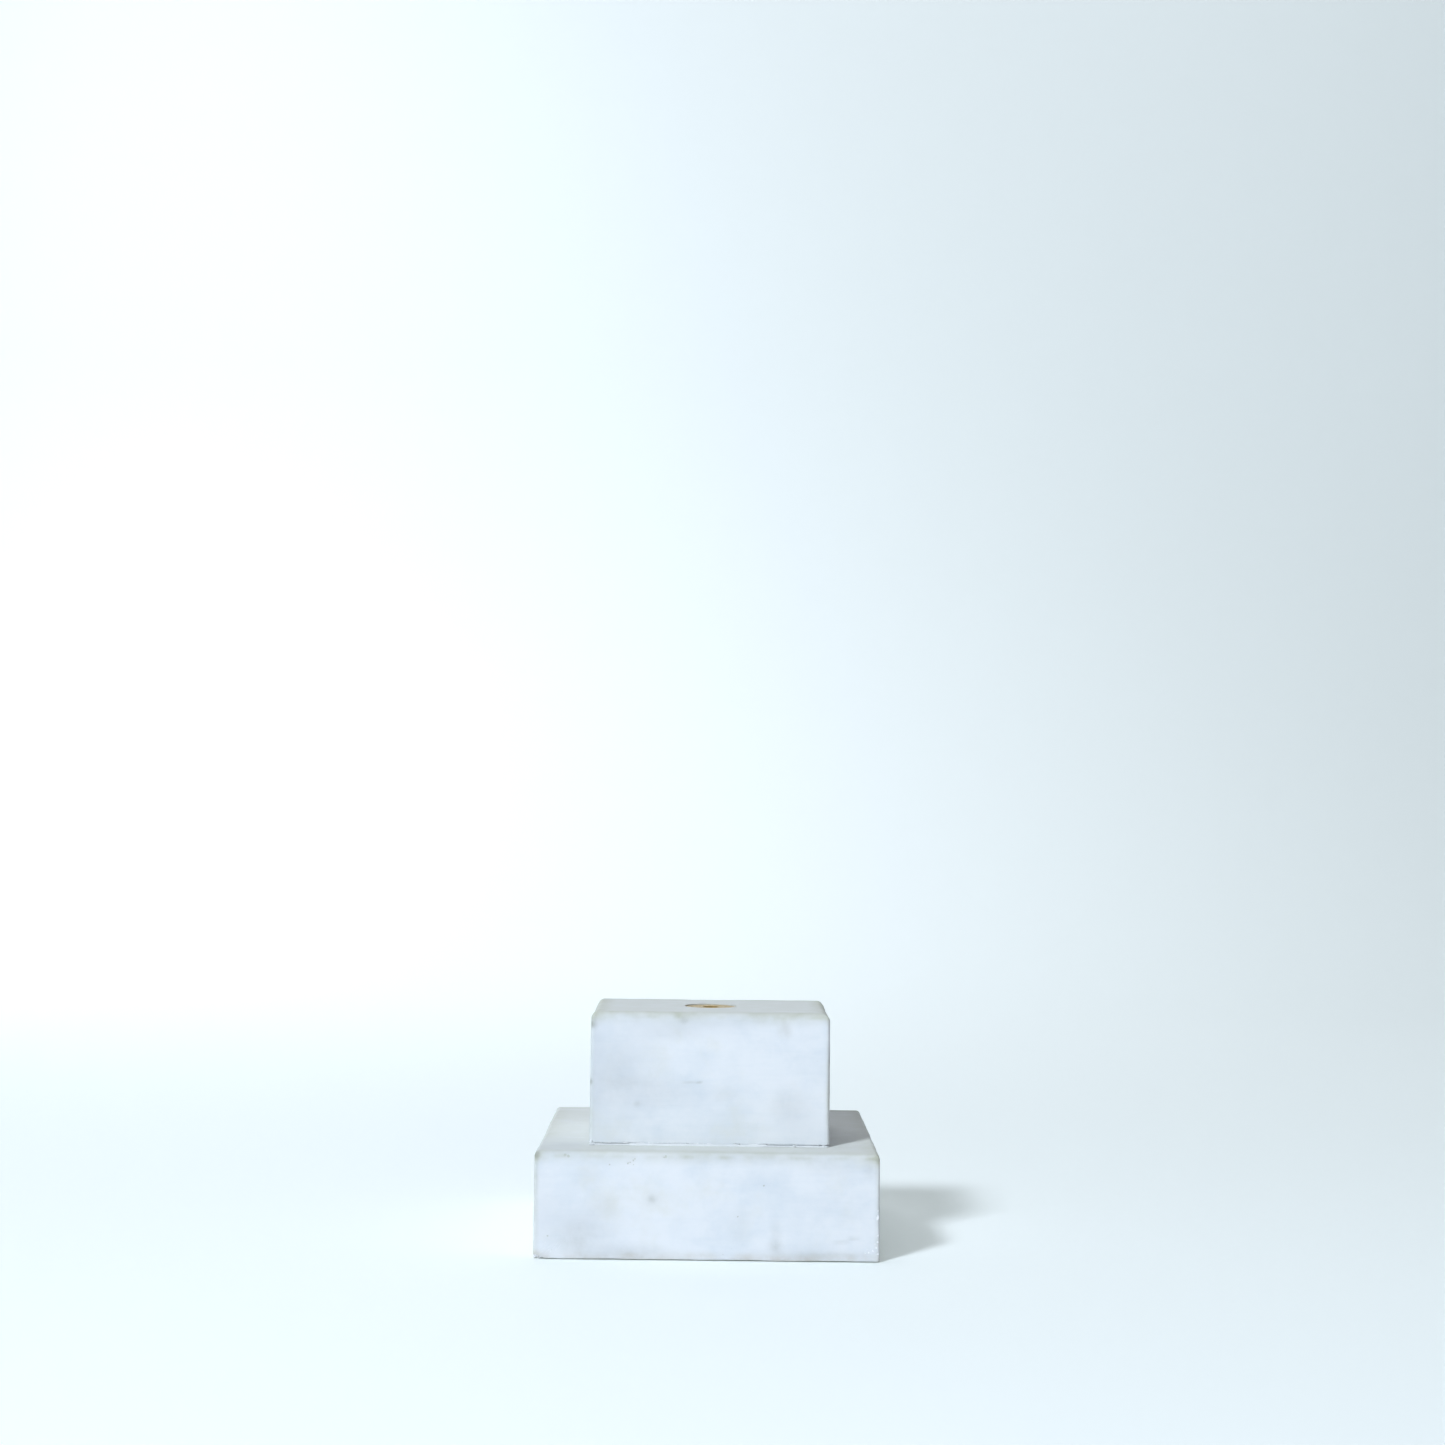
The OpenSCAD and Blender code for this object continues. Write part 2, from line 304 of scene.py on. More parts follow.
# Cloudy tone: a pale tone with cool and warm clouds in it, crossed by the scraper's faint level streaks.
CLOUDS, inner, out = effect(
    "cloudy tone",
    {"Place": "Vector", "Pale": "Color", "Cool": "Color", "Warm": "Color", "Clouds": "Float",
     "Streaks": "Float"},
    {"Color": "Color"},
)
tree = CLOUDS
wide = ramped(tree, noise_at(tree, inner["Place"], 24, detail=5, roughness=0.6), 0.4, 0.66)
near = ramped(tree, noise_at(tree, inner["Place"], 110, detail=5, roughness=0.6), 0.46, 0.74)
level = stretched(tree, inner["Place"], (0.12, 0.3, 1))
streak = ramped(tree, noise_at(tree, level, 300, detail=4), 0.44, 0.74)
shifted = shader(tree, "Mapping", {"Vector": inner["Place"], "Location": (3.1, 1.7, 0.4)}).outputs[0]
tan = ramped(tree, noise_at(tree, shifted, 34, detail=5, roughness=0.62), 0.52, 0.8)
cloud = product(tree, maths(tree, "MULTIPLY_ADD", near, 0.4, wide), inner["Clouds"])
share = maths(tree, "MULTIPLY_ADD", streak, inner["Streaks"], cloud)
clear = shader(tree, "Clamp", {0: share}).outputs[0]
cooled = blended(tree, clear, inner["Pale"], inner["Cool"])
warmth = product(tree, tan, inner["Clouds"])
tree.links.new(blended(tree, warmth, cooled, inner["Warm"]), out["Color"])

# Ragged mask: a stored mask whose edge is broken up by noise, for grime, dust and stains.
RAGGED, inner, out = effect(
    "ragged mask",
    {"Place": "Vector", "Mask": "Float", "Scale": "Float", "Bite": "Float"},
    {"Mask": "Float"},
)
tree = RAGGED
broken = noise_at(tree, inner["Place"], inner["Scale"], detail=6)
lift = product(tree, maths(tree, "SUBTRACT", broken, 0.5), product(tree, inner["Bite"], 3.0))
gain = product(tree, inner["Mask"], maths(tree, "ADD", lift, 1.0))
tree.links.new(shader(tree, "Clamp", {0: gain}).outputs[0], out["Mask"])

# Plaster skin: the height of the fine sanded grain, the pinholes and the scraper's shallow tracks, and the
# pinholes' painted shade.
SKIN, inner, out = effect(
    "plaster skin",
    {"Place": "Vector", "Tracks": "Float", "Grain": "Float"},
    {"Height": "Float", "Pinhole_Shade": "Float"},
)
tree = SKIN
tracks = noise_at(tree, stretched(tree, inner["Place"], (0.08, 0.08, 1)), 700, detail=4)
grain = noise_at(tree, inner["Place"], 2600, detail=3)
soft = noise_at(tree, inner["Place"], 160, detail=4)
cells = shader(tree, "TexVoronoi", {"Vector": inner["Place"], "Scale": 260.0})
hole = ramped(tree, cells.outputs["Distance"], 0.11, 0.03)
lot = noise_at(tree, inner["Place"], 45, detail=2)
rare = product(tree, hole, ramped(tree, lot, 0.64, 0.76))
height = product(tree, tracks, inner["Tracks"])
height = maths(tree, "MULTIPLY_ADD", grain, product(tree, inner["Grain"], 0.35), height)
height = maths(tree, "MULTIPLY_ADD", soft, 1.4, height)
height = maths(tree, "MULTIPLY_ADD", rare, -1.2, height)
tree.links.new(height, out["Height"])
tree.links.new(rare, out["Pinhole_Shade"])


def plaster(name, pale, cool, warm, tracks=1.0, grain=1.0, clouds=0.62, streaks=0.2, depth=0.12 * MM,
            aged=True):
    """Bare gypsum plaster. The masks dust, grime, foot and stain soil it where hands and air reach; a further
    mask darkens it in broad cool-grey patches.
    """
    material, tree, surface, place = bare_material(name, Roughness=0.82, Specular_IOR_Level=0.3)
    tone = placed(tree, CLOUDS, {"Place": place, "Pale": pale, "Cool": cool, "Warm": warm,
                                 "Clouds": clouds, "Streaks": streaks})["Color"]
    soils = (("dust", 90.0, 0.4, tint(222, 223, 217)), ("grime", 150.0, 0.6, tint(200, 201, 184)),
             ("foot", 240.0, 0.8, tint(204, 198, 186)), ("stain", 300.0, 0.55, tint(160, 160, 146)),
             ("grey_darkening", 70.0, 0.4, tint(196, 201, 206)))
    for mask, scale, bite, colour in soils if aged else ():
        stored = shader(tree, "Attribute", attribute_name=mask).outputs["Fac"]
        ragged = placed(tree, RAGGED, {"Place": place, "Mask": stored, "Scale": scale, "Bite": bite})["Mask"]
        tone = blended(tree, ragged, tone, colour)
    skin = placed(tree, SKIN, {"Place": place, "Tracks": tracks, "Grain": grain})
    # Painted shade: the pinholes are only bump relief, so the shade inside them is painted into the colour as
    # dark specks.
    tone = blended(tree, product(tree, skin["Pinhole_Shade"], 0.3), tone, tint(160, 158, 148))
    skinned(tree, surface, tone, skin["Height"], depth)
    rough = ramped(tree, noise_at(tree, place, 130, detail=4), 0.2, 0.9)
    sockets = {"Value": rough, "To Min": 0.74, "To Max": 0.92}
    tree.links.new(shader(tree, "MapRange", sockets).outputs[0], surface["Roughness"])
    return material


CAST_PLASTER = plaster("bare_plaster", tint(240, 241, 242), tint(225, 230, 234), tint(230, 230, 223))
FRESH_BREAK = plaster("fresh_break", tint(254, 254, 254), tint(252, 252, 252), tint(252, 252, 250),
                      tracks=0.2, grain=2.0, streaks=0.0, aged=False)
DIRTY_PIT = plaster("dirty_pit", tint(216, 217, 211), tint(200, 202, 196), tint(192, 190, 179),
                    tracks=0.1, grain=2.0, streaks=0.0)
INNER_FACE = plaster("inner_face", tint(232, 231, 224), tint(214, 214, 208), tint(216, 209, 194),
                     tracks=0.6, grain=2.5, depth=0.3 * MM)


def grit(name, spots, material, rounds, ragged, seed, square=0.0):
    """One cutter of many irregular lumps, round or squarish. Each spot is a centre, radii and a turn."""
    mesh = bmesh.new()
    for count, (centre, radii, turn) in enumerate(spots):
        made = bmesh.ops.create_icosphere(mesh, subdivisions=rounds, radius=1)["verts"]
        place = Matrix.Translation(centre) @ Euler(turn).to_matrix().to_4x4()
        shift = Vector((seed * 3.1 + count * 7.7, count * 1.9, seed))
        for vertex in made:
            length = (1 + ragged * noise.noise(vertex.co * 1.7 + shift)) / max(map(abs, vertex.co)) ** square
            vertex.co = place @ Vector([c * r * length for c, r in zip(vertex.co, radii)])
    return set_piece(name, mesh, material)


def bar(name, low, high, radius, material, sides=48, x=AXIS.x):
    """An upright round bar between two heights, on the clamp's axis or level with it at x."""
    mesh = bmesh.new()
    place = Matrix.Translation((x, AXIS.y, (low + high) / 2))
    bmesh.ops.create_cone(mesh, cap_ends=True, segments=sides, radius1=radius, radius2=radius,
                          depth=high - low, matrix=place)
    return set_piece(name, mesh, material)


def drilled(piece, low, high, radius, material, sides=48, x=AXIS.x):
    """Drills an upright hole between two heights."""
    carved(piece, bar("drill", low, high, radius, material, sides, x))


def hollow_of(name, low, high, step):
    """The core of a casting's hollow: a rounded block, a little uneven, that comes out through the foot."""
    points, quads = ruled_block(low, high, HOLLOW_CORNER, step)
    core = piece_of(name, rounded(points, HOLLOW_CORNER, 2.5 * MM, 0.5 * MM), quads, INNER_FACE)
    return swollen(core, lumps(vertices(core), 22 * MM, 5) * 0.25 * MM)


def faded(distance, reach):
    """1 at no distance, 0 at this reach, smooth between."""
    share = np.clip(distance / reach, 0, 1)
    return 1 - share * share * (3 - 2 * share)


def soiled(piece, low, high, stains, grey_darkenings, seed, wet_foot=1.0, handled=0.5):
    """Marks where a casting gathers dust, grime along its edges and foot, and stains, and where it is
    darkened in broad cool-grey patches.
    """
    at = vertices(piece)
    facing_up = np.clip(normals(piece)[:, 2], 0, 1)
    from_top = high[2] - at[:, 2]
    sides = np.minimum(abs(at[:, 0] - low[0]), abs(at[:, 0] - high[0]))
    ends = np.minimum(abs(at[:, 1] - low[1]), abs(at[:, 1] - high[1]))
    rim = np.minimum(sides, ends)
    patchy = np.clip(0.65 + 0.5 * lumps(at, 24 * MM, seed) + 0.25 * lumps(at, 6 * MM, seed + 2), 0, 1)
    crown = faded(from_top, 9 * MM) ** 1.5 * faded(rim, 12 * MM)
    arris = faded(np.hypot(sides, ends), 3.5 * MM)
    knock = faded(np.hypot(sides, ends), 9 * MM) * crown
    broken = np.clip(0.2 + 0.9 * lumps(at, 9 * MM, seed + 4), 0, 1)
    line = faded(abs(from_top - 2.2 * MM), 1.6 * MM) * faded(rim, 3 * MM) * broken
    foot = faded(at[:, 2] - low[2], 5 * MM) * faded(rim, 1.2 * MM)
    damp = np.clip(0.45 + 0.6 * lumps(at, 12 * MM, seed + 1), 0, 1)
    marked(piece, "dust", faded(from_top, 3 * MM) * facing_up ** 2)
    marked(piece, "grime", (handled * crown + 0.55 * arris) * patchy + 0.4 * knock + 0.5 * line)
    marked(piece, "foot", wet_foot * foot * damp)
    for name, spots in (("stain", stains), ("grey_darkening", grey_darkenings)):
        mask = np.zeros(len(at))
        for centre, size, strength in spots:
            mask += strength * faded(np.linalg.norm((at - np.array(centre)) / np.array(size), axis=1), 1)
        marked(piece, name, mask)


def on_front(marks, foot):
    """Spots of stain or of broad cool-grey darkening on a casting's front, given along it and up from its
    foot in millimetres.
    """
    return [((x * MM, foot.y + 0.5 * MM, foot.z + z * MM), (w * MM, 6 * MM, h * MM), strength)
            for x, z, w, h, strength in marks]


def burred(piece, low, high, reach, seed):
    """Draws the foot's outer edge down into the thin burr that forms at the open side of the mould."""
    at = vertices(piece)
    x, y, z = at.T
    rim = np.minimum.reduce([x - low[0], high[0] - x, y - low[1], high[1] - y])
    hang = faded(rim, 1.8 * MM) * faded(z - low[2], 1.5 * MM)
    at[:, 2] -= reach * hang * np.clip(0.85 + 0.6 * lumps(at, 9 * MM, seed), 0, 1.3)
    moved(piece, at)


def pits_in(low, bubbles):
    """Shallow round pits in a casting's front, from (along, up from the foot, radius) in millimetres."""
    spots = []
    for x, z, r in bubbles:
        radii = (r * MM, min(0.4, 0.45 * r * r) * MM, r * 0.8 * MM)
        spots.append(((x * MM, low.y + 0.05 * MM, low.z + z * MM), radii, (0, x, 0)))
    return spots


def strewn(seed, count, low, high, size):
    """Air bubbles at random places over the sides and back of a casting."""
    draw = random.Random(seed)
    spots = []
    for number in range(count):
        side = draw.choice(("left", "right", "back"))
        x = draw.uniform(low[0] + 8 * MM, high[0] - 8 * MM)
        y = draw.uniform(low[1] + 8 * MM, high[1] - 8 * MM)
        x = {"left": low[0], "right": high[0]}.get(side, x)
        y = high[1] if side == "back" else y
        z = high[2] - (high[2] - low[2]) * (0.06 + 0.86 * draw.random() ** 1.8)
        radius = size * draw.uniform(0.4, 1.0)
        turn = [draw.uniform(0, math.pi) for axis in range(3)]
        radii = (radius, radius * draw.uniform(0.6, 1), radius * draw.uniform(0.7, 1))
        spots.append(((x, y, z), radii, turn))
    return spots


LOWER_CORNER, LOWER_CROWN, LOWER_DRAFT, BURR = 1.2 * MM, 2.7, 0.15 * MM, 0.34 * MM
points, quads = ruled_block(LOWER_LOW, LOWER_HIGH, 4 * MM, (1.15 * MM, 1.9 * MM, 1.1 * MM))
crown = (LOWER_CROWN + 0.9 * lumps(points, 26 * MM, 1) + 0.5 * lumps(points, 9 * MM, 2)) * MM
foot = (0.3 + 0.4 * abs(lumps(points, 7 * MM, 3))) * MM
points = drafted(rounded(points, LOWER_CORNER, crown, foot), LOWER_DRAFT)
lower_tier = piece_of("lower_casting", points, quads, CAST_PLASTER)
at = vertices(lower_tier)
swollen(lower_tier, (0.22 * lumps(at, 45 * MM, 4) + 0.1 * lumps(at, 11 * MM, 6)) * MM)
burred(lower_tier, LOWER_LOW, LOWER_HIGH, BURR, 7)

LOWER_FRONT = LOWER_LOW.y
bubbles = [(-69.8, 50.6, 0.95), (-68.2, 49.8, 0.8), (-20.4, 50.2, 0.9), (-21.3, 49.6, 0.5),
           (-38.9, 46.4, 0.6), (-37.9, 46.9, 0.5), (-36.4, 47.9, 0.55), (-35.6, 48.7, 0.45),
           (-36.3, 45.8, 0.4), (-48.0, 45.8, 0.4), (27.8, 36.2, 0.65), (15.2, 21.0, 0.5),
           (23.8, 43.4, 0.4), (-78.0, 10.6, 0.45), (-33.0, 28.0, 0.3)]
spots = pits_in(LOWER_LOW, bubbles) + strewn(11, 26, LOWER_LOW, LOWER_HIGH, 0.9 * MM)
carved(lower_tier, grit("bubbles", spots, DIRTY_PIT, 2, 0.5, 1))

RIGHT, LEFT, BACK = LOWER_HIGH.x, LOWER_LOW.x, LOWER_HIGH.y
FRONT_CHIPS = (
    # in from the right edge, up the face, half-width, half-height, depth
    (1.15, 21.3, 1.25, 1.9, 0.5),
    (0.9, 24.6, 0.6, 0.6, 0.35),
    (0.8, 29.5, 0.6, 0.8, 0.3),
    (0.8, 12.5, 0.6, 0.9, 0.3),
    (1.0, 9.4, 0.8, 0.7, 0.3),
    (1.8, 6.6, 0.9, 0.7, 0.25),
    (3.4, 5.0, 0.8, 0.5, 0.18),
    (5.4, 4.2, 0.9, 0.45, 0.18),
    (7.2, 3.8, 0.5, 0.5, 0.18),
    (2.4, 8.4, 0.5, 0.6, 0.2),
    (6.3, 5.6, 0.4, 0.35, 0.18),
    (0.9, 3.6, 1.1, 0.6, 0.4),
)
spots = [((RIGHT - x * MM, LOWER_FRONT - 1 * MM, LOWER_LOW.z + z * MM),
          (w * MM, (1 + deep) * MM, h * MM), (0, 0.3 * x, 0)) for x, z, w, h, deep in FRONT_CHIPS]
carved(lower_tier, grit("front_chips", spots, FRESH_BREAK, 2, 0.2, 2, square=0.3))
EDGE_CHIPS = (
    # along and across in metres, up from the foot and the radii in millimetres
    (LEFT + 0.6 * MM, LOWER_FRONT + 0.5 * MM, 0.1, (2.6, 1.6, 1.3)),
    (LEFT + 3.6 * MM, LOWER_FRONT, -0.1, (2.2, 0.8, 0.6)),
    (LEFT + 0.5 * MM, BACK - 0.5 * MM, 14.0, (1.2, 1.0, 3.0)),
    (RIGHT - 0.5 * MM, BACK - 0.7 * MM, 38.0, (1.1, 1.2, 2.0)),
    (RIGHT - 0.4 * MM, 0.02, 0.2, (0.8, 4.0, 1.2)),
    (-0.03, BACK - 0.2 * MM, 0.2, (5.0, 0.9, 1.1)),
    (0.041, BACK - 0.5 * MM, 51.6, (2.2, 0.9, 0.8)),
    (LEFT + 0.5 * MM, -0.022, 51.6, (0.9, 2.6, 0.8)),
)
spots = [((x, y, LOWER_LOW.z + z * MM), [r * MM for r in radii], (0.2 * k, 0.1, 0.4 * k))
         for k, (x, y, z, radii) in enumerate(EDGE_CHIPS)]
carved(lower_tier, grit("edge_chips", spots, FRESH_BREAK, 2, 0.6, 2, square=0.6))

# Shallow slanting scratches at the left end of the foot, where the plinth was scraped on something.
SCRATCHES = ((-81.2, 2.4, 2.0), (-80.0, 4.6, 1.6), (-78.2, 3.2, 2.8), (-77.0, 5.6, 1.5), (-75.4, 4.4, 2.6),
             (-73.4, 6.8, 1.4), (-72.0, 5.6, 2.2), (-70.2, 7.8, 1.3), (-79.0, 7.4, 1.0), (-76.4, 3.0, 1.6),
             (-73.8, 4.2, 1.2))
spots = [((x * MM, LOWER_FRONT - 0.5 * MM, LOWER_LOW.z + z * MM), (length * MM, 0.58 * MM, 0.22 * MM),
          (0, math.radians(-34 - 3 * k), 0)) for k, (x, z, length) in enumerate(SCRATCHES)]
SCRAPED = plaster("scraped", tint(247, 248, 249), tint(240, 242, 243), tint(241, 241, 238), tracks=0.4)
carved(lower_tier, grit("scratches", spots, SCRAPED, 3, 0.2, 3, square=0.4))

PAST_FOOT = 3 * MM
core_low = (LOWER_LOW.x + LOWER_WALL, LOWER_LOW.y + LOWER_WALL, LOWER_LOW.z - PAST_FOOT)
core_high = (LOWER_HIGH.x - LOWER_WALL, LOWER_HIGH.y - LOWER_WALL, SCRIM_HIGH.z)
carved(lower_tier, hollow_of("lower_core", core_low, core_high, 3.5 * MM))
ROD_HOLE = 4.5 * MM
drilled(lower_tier, core_high[2] - PAST_FOOT, LOWER_HIGH.z + PAST_FOOT, ROD_HOLE, INNER_FACE)
DOWELS = ("dowel_left", "dowel_right")
DOWEL_HOLE = 3.15 * MM
for node in DOWELS:
    low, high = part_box(node)
    drilled(lower_tier, low.z - 0.5 * MM, LOWER_HIGH.z + PAST_FOOT, DOWEL_HOLE, INNER_FACE,
            x=(low.x + high.x) / 2)
smooth(lower_tier)
LOWER_MARKS = (
    # along, up the face, half-width, half-height, strength
    (-84.5, 50.4, 4, 3.5, 0.6),
    (84.4, 50.0, 2.6, 3.2, 0.45),
    (-27.0, 29.2, 3.6, 3.2, 0.26),
    (-27.0, 29.0, 7, 6, 0.12),
    (-62.0, 12.0, 22, 12, 0.16),
    (-66.0, 6.0, 12, 7, 0.14),
    (-40.0, 4.0, 30, 5, 0.12),
    (-58.0, 40.0, 9, 12, 0.07),
    (-52.0, 26.0, 12, 9, 0.09),
    (34.0, 6.0, 6, 5.5, 0.2),
    (34.0, 12.0, 5, 12, 0.1),
    (17.0, 16.0, 9, 15, 0.08),
    (66.0, 9.0, 7, 1.2, 0.22),
    (72.0, 11.0, 5, 1.2, 0.2),
    (56.0, 2.5, 30, 3.5, 0.2),
    (60.0, 46.0, 22, 7, 0.1),
    (80.0, 45.0, 6, 8, 0.14),
    (84.6, 30.0, 1.6, 22, 0.2),
    (-84.8, 38.0, 2.4, 26, 0.24),
)
# Patches where the lower front is darkened in broad cool grey.
LOWER_DARKENINGS = (
    (-62.0, 16.0, 34, 24, 0.25),
    (-80.0, 26.0, 12, 34, 0.12),
    (-40.0, 3.0, 40, 7, 0.2),
    (50.0, 3.0, 50, 7, 0.16),
    (20.0, 50.0, 70, 5, 0.15),
)
LOWER_DARKENING_SPOTS = on_front(LOWER_DARKENINGS, LOWER_LOW)
# A patch of the same cool-grey darkening on the lower casting's top, at the left.
ledge = (LEFT + 10 * MM, LOWER_FRONT + 16 * MM, LOWER_HIGH.z)
LOWER_DARKENING_SPOTS.append((ledge, (26 * MM, 60 * MM, 4 * MM), 0.3))
soiled(lower_tier, LOWER_LOW, LOWER_HIGH, on_front(LOWER_MARKS, LOWER_LOW), LOWER_DARKENING_SPOTS, 21)
fitted(lower_tier, "cast_plaster", "lower_tier")

# ------------------------ scrim lining of both hollows
# Open-weave jute, dipped in plaster and pressed into the hollow in two layers while the casting is green.
# Its yarns stand out from the thin skin of plaster between them.
YARN_PITCH = 4.6 * MM
YARN_WIDTH = 1.7 * MM
YARN_RISE = 0.55 * MM
LINING_RADIUS = 5.4 * MM
LINING_THICK = 1.2 * MM

WEAVE, inner, out = effect(
    "jute weave",
    {"Place": "Vector", "Facing": "Vector", "Pitch": "Float", "Yarn": "Color", "Skin": "Color",
     "Shade": "Color"},
    {"Color": "Color", "Height": "Float"},
)
tree = WEAVE
facing = shader(tree, "SeparateXYZ", {0: inner["Facing"]}).outputs
spot = shader(tree, "SeparateXYZ", {0: inner["Place"]}).outputs
yarns = 0.0
for axis in range(3):
    across = maths(tree, "DIVIDE", spot[axis], inner["Pitch"])
    wave = maths(tree, "COSINE", product(tree, across, 2 * math.pi))
    line = ramped(tree, wave, 0.35, 0.8)
    away = ramped(tree, maths(tree, "ABSOLUTE", facing[axis]), 0.85, 0.6)
    yarns = maths(tree, "MAXIMUM", yarns, product(tree, line, away))
fibres = noise_at(tree, inner["Place"], 2600, detail=4)
bald = ramped(tree, noise_at(tree, inner["Place"], 60, detail=5), 0.4, 0.7)
patchy = ramped(tree, noise_at(tree, inner["Place"], 130, detail=5), 0.35, 0.75)
bare_yarn = product(tree, yarns, maths(tree, "MULTIPLY_ADD", bald, 0.75, 0.2))
fuzz = blended(tree, ramped(tree, fibres, 0.35, 0.7), inner["Yarn"], inner["Skin"])
skin = blended(tree, product(tree, patchy, 0.8), inner["Skin"], inner["Shade"])
tree.links.new(blended(tree, bare_yarn, skin, fuzz), out["Color"])
tree.links.new(maths(tree, "ADD", fibres, yarns), out["Height"])

SCRIM, tree, surface, place = bare_material("plastered_scrim", Roughness=0.92, Specular_IOR_Level=0.2)
facing = shader(tree, "TexCoord").outputs["Normal"]
weave = placed(tree, WEAVE, {"Place": place, "Facing": facing, "Pitch": YARN_PITCH,
                             "Yarn": tint(184, 164, 126), "Skin": tint(224, 220, 208),
                             "Shade": tint(206, 201, 186)})
skinned(tree, surface, weave["Color"], weave["Height"], 0.3 * MM)


def woven(across, along):
    """Height of a plain weave at each place, from 0 between the yarns to 1 on a crest."""
    crossing = np.cos(math.pi * across / YARN_PITCH) * np.cos(math.pi * along / YARN_PITCH)
    heights = []
    for place, sign in ((across, 1), (along, -1)):
        off = (0.5 - abs((place / YARN_PITCH) % 1 - 0.5)) * YARN_PITCH
        round_yarn = np.sqrt(np.clip(1 - (off / (YARN_WIDTH / 2)) ** 2, 0, 1))
        heights.append(round_yarn * (0.7 + 0.3 * sign * np.sign(crossing) * abs(crossing) ** 0.3))
    return np.maximum(*heights)


def weave_on(points, middle, half):
    """The weave's height on a box's five inner faces, laid square on each."""
    share = abs(points - middle) / half
    face = np.argmax(share, axis=1)
    pairs = ((1, 2), (0, 2), (0, 1))
    return np.select([face == k for k in range(3)], [woven(points[:, a], points[:, b]) for a, b in pairs])


def lining(name, node, hole_radius):
    """A lining is a plain box with the woven inside cut out of it."""
    low, high = (np.array(corner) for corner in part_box(node))
    points, quads = ruled_block(low, high, LINING_RADIUS, 6 * MM)
    points = rounded(points, LINING_RADIUS + LINING_THICK, 3.5 * MM, 0.1 * MM)
    shell = piece_of(name, points, quads, SCRIM)
    room_low, room_high = low + LINING_THICK, high - LINING_THICK
    room_low[2] = low[2] - 2 * MM
    points, quads = ruled_block(room_low, room_high, LINING_RADIUS, 0.95 * MM)
    points = rounded(points, LINING_RADIUS, 3 * MM, 0.3 * MM)
    room = piece_of(name + "_room", points, quads, SCRIM)
    heights = weave_on(points, (room_low + room_high) / 2, (room_high - room_low) / 2)
    swollen(room, lumps(points, 18 * MM, 33) * 0.2 * MM - heights * YARN_RISE)
    carved(shell, room)
    drilled(shell, high[2] - 6 * MM, high[2] + 2 * MM, hole_radius, SCRIM)
    fitted(smooth(shell, 50), "scrim", node)


lining("lower_scrim_lining", "lower_scrim", ROD_HOLE)

# ------------------------ rim laths
# Rough-sawn softwood laths on edge, just inside the open rim. Their long edges are broken with a plane,
# and plaster smears cling to their lower halves.
TIMBER, inner, out = effect(
    "timber grain",
    {"Place": "Vector", "Along": "Vector", "Pale": "Color", "Dark": "Color", "Smear": "Float"},
    {"Color": "Color", "Height": "Float"},
)
tree = TIMBER
grainwise = stretched(tree, inner["Place"], inner["Along"])
swirl = noise_at(tree, grainwise, 90)
bands = maths(tree, "SINE", product(tree, swirl, 42.0))
late = ramped(tree, bands, -0.4, 1.3)
pores = noise_at(tree, grainwise, 2400, detail=2)
saw = noise_at(tree, inner["Place"], 900, detail=4)
tone = blended(tree, product(tree, late, 0.7), inner["Pale"], inner["Dark"])
tone = blended(tree, product(tree, ramped(tree, pores, 0.55, 0.75), 0.35), tone, inner["Dark"])
smear = ramped(tree, noise_at(tree, inner["Place"], 120, detail=6), 0.5, 0.72)
thin = product(tree, smear, maths(tree, "ADD", ramped(tree, saw, 0.3, 0.7), 0.25))
tone = blended(tree, product(tree, thin, inner["Smear"]), tone, tint(224, 220, 208))
tree.links.new(tone, out["Color"])
rough = maths(tree, "ADD", pores, saw)
tree.links.new(maths(tree, "ADD", product(tree, late, 0.6), rough), out["Height"])


def timber(name, along, pale, dark, smear):
    material, tree, surface, place = bare_material(name, Roughness=0.78, Specular_IOR_Level=0.25)
    grain = placed(tree, TIMBER, {"Place": place, "Along": along, "Pale": pale, "Dark": dark, "Smear": smear})
    skinned(tree, surface, grain["Color"], grain["Height"], 0.12 * MM)
    return material


ALONG_X, ALONG_Y, ALONG_Z = (0.04, 1, 1), (1, 0.04, 1), (1, 1, 0.05)
LATH_X = timber("lath_wood_x", ALONG_X, tint(214, 190, 152), tint(180, 146, 106), 0.75)
LATH_Y = timber("lath_wood_y", ALONG_Y, tint(209, 184, 146), tint(174, 140, 100), 0.75)


def sawn(name, low, high, material, seed):
    """A sawn stick with broken edges, slightly out of true."""
    points, quads = ruled_block(low, high, 0.9 * MM, 2.5 * MM)
    radius = (0.7 + 0.3 * lumps(points, 12 * MM, seed)) * MM
    stick = piece_of(name, rounded(points, 0.7 * MM, radius, radius), quads, material)
    at = vertices(stick)
    return swollen(stick, (0.12 * lumps(at, 25 * MM, seed) - 0.12 + 0.05 * lumps(at, 3 * MM, seed + 1)) * MM)


LATHS = {"rim_lath_front": LATH_X, "rim_lath_back": LATH_X, "rim_lath_left": LATH_Y,
         "rim_lath_right": LATH_Y}
for seed, (node, wood) in enumerate(LATHS.items()):
    fitted(smooth(sawn(node + "_stick", *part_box(node), wood, 40 + seed)), "softwood", node)

# ------------------------ wads
# Handfuls of plaster and scrim pressed over the timber, which hold it to the casting and keep the shape of
# the fingers. Those in the corners sit on the laths, the others saddle the battens' ends.
WAD_PLASTER = plaster("wad_plaster", tint(231, 229, 220), tint(212, 211, 203), tint(214, 205, 186),
                      tracks=0.4, grain=4.0, streaks=0.1, depth=0.5 * MM)
CORNER_LOW, CORNER_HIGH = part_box("rim_lath_wads")
CORNER_RADIUS = 22 * MM


def kneaded(points, seed, depth):
    """Finger dents, broad and fine."""
    return (0.75 * lumps(points, 7 * MM, seed) + 0.35 * lumps(points, 2.6 * MM, seed + 1)) * depth


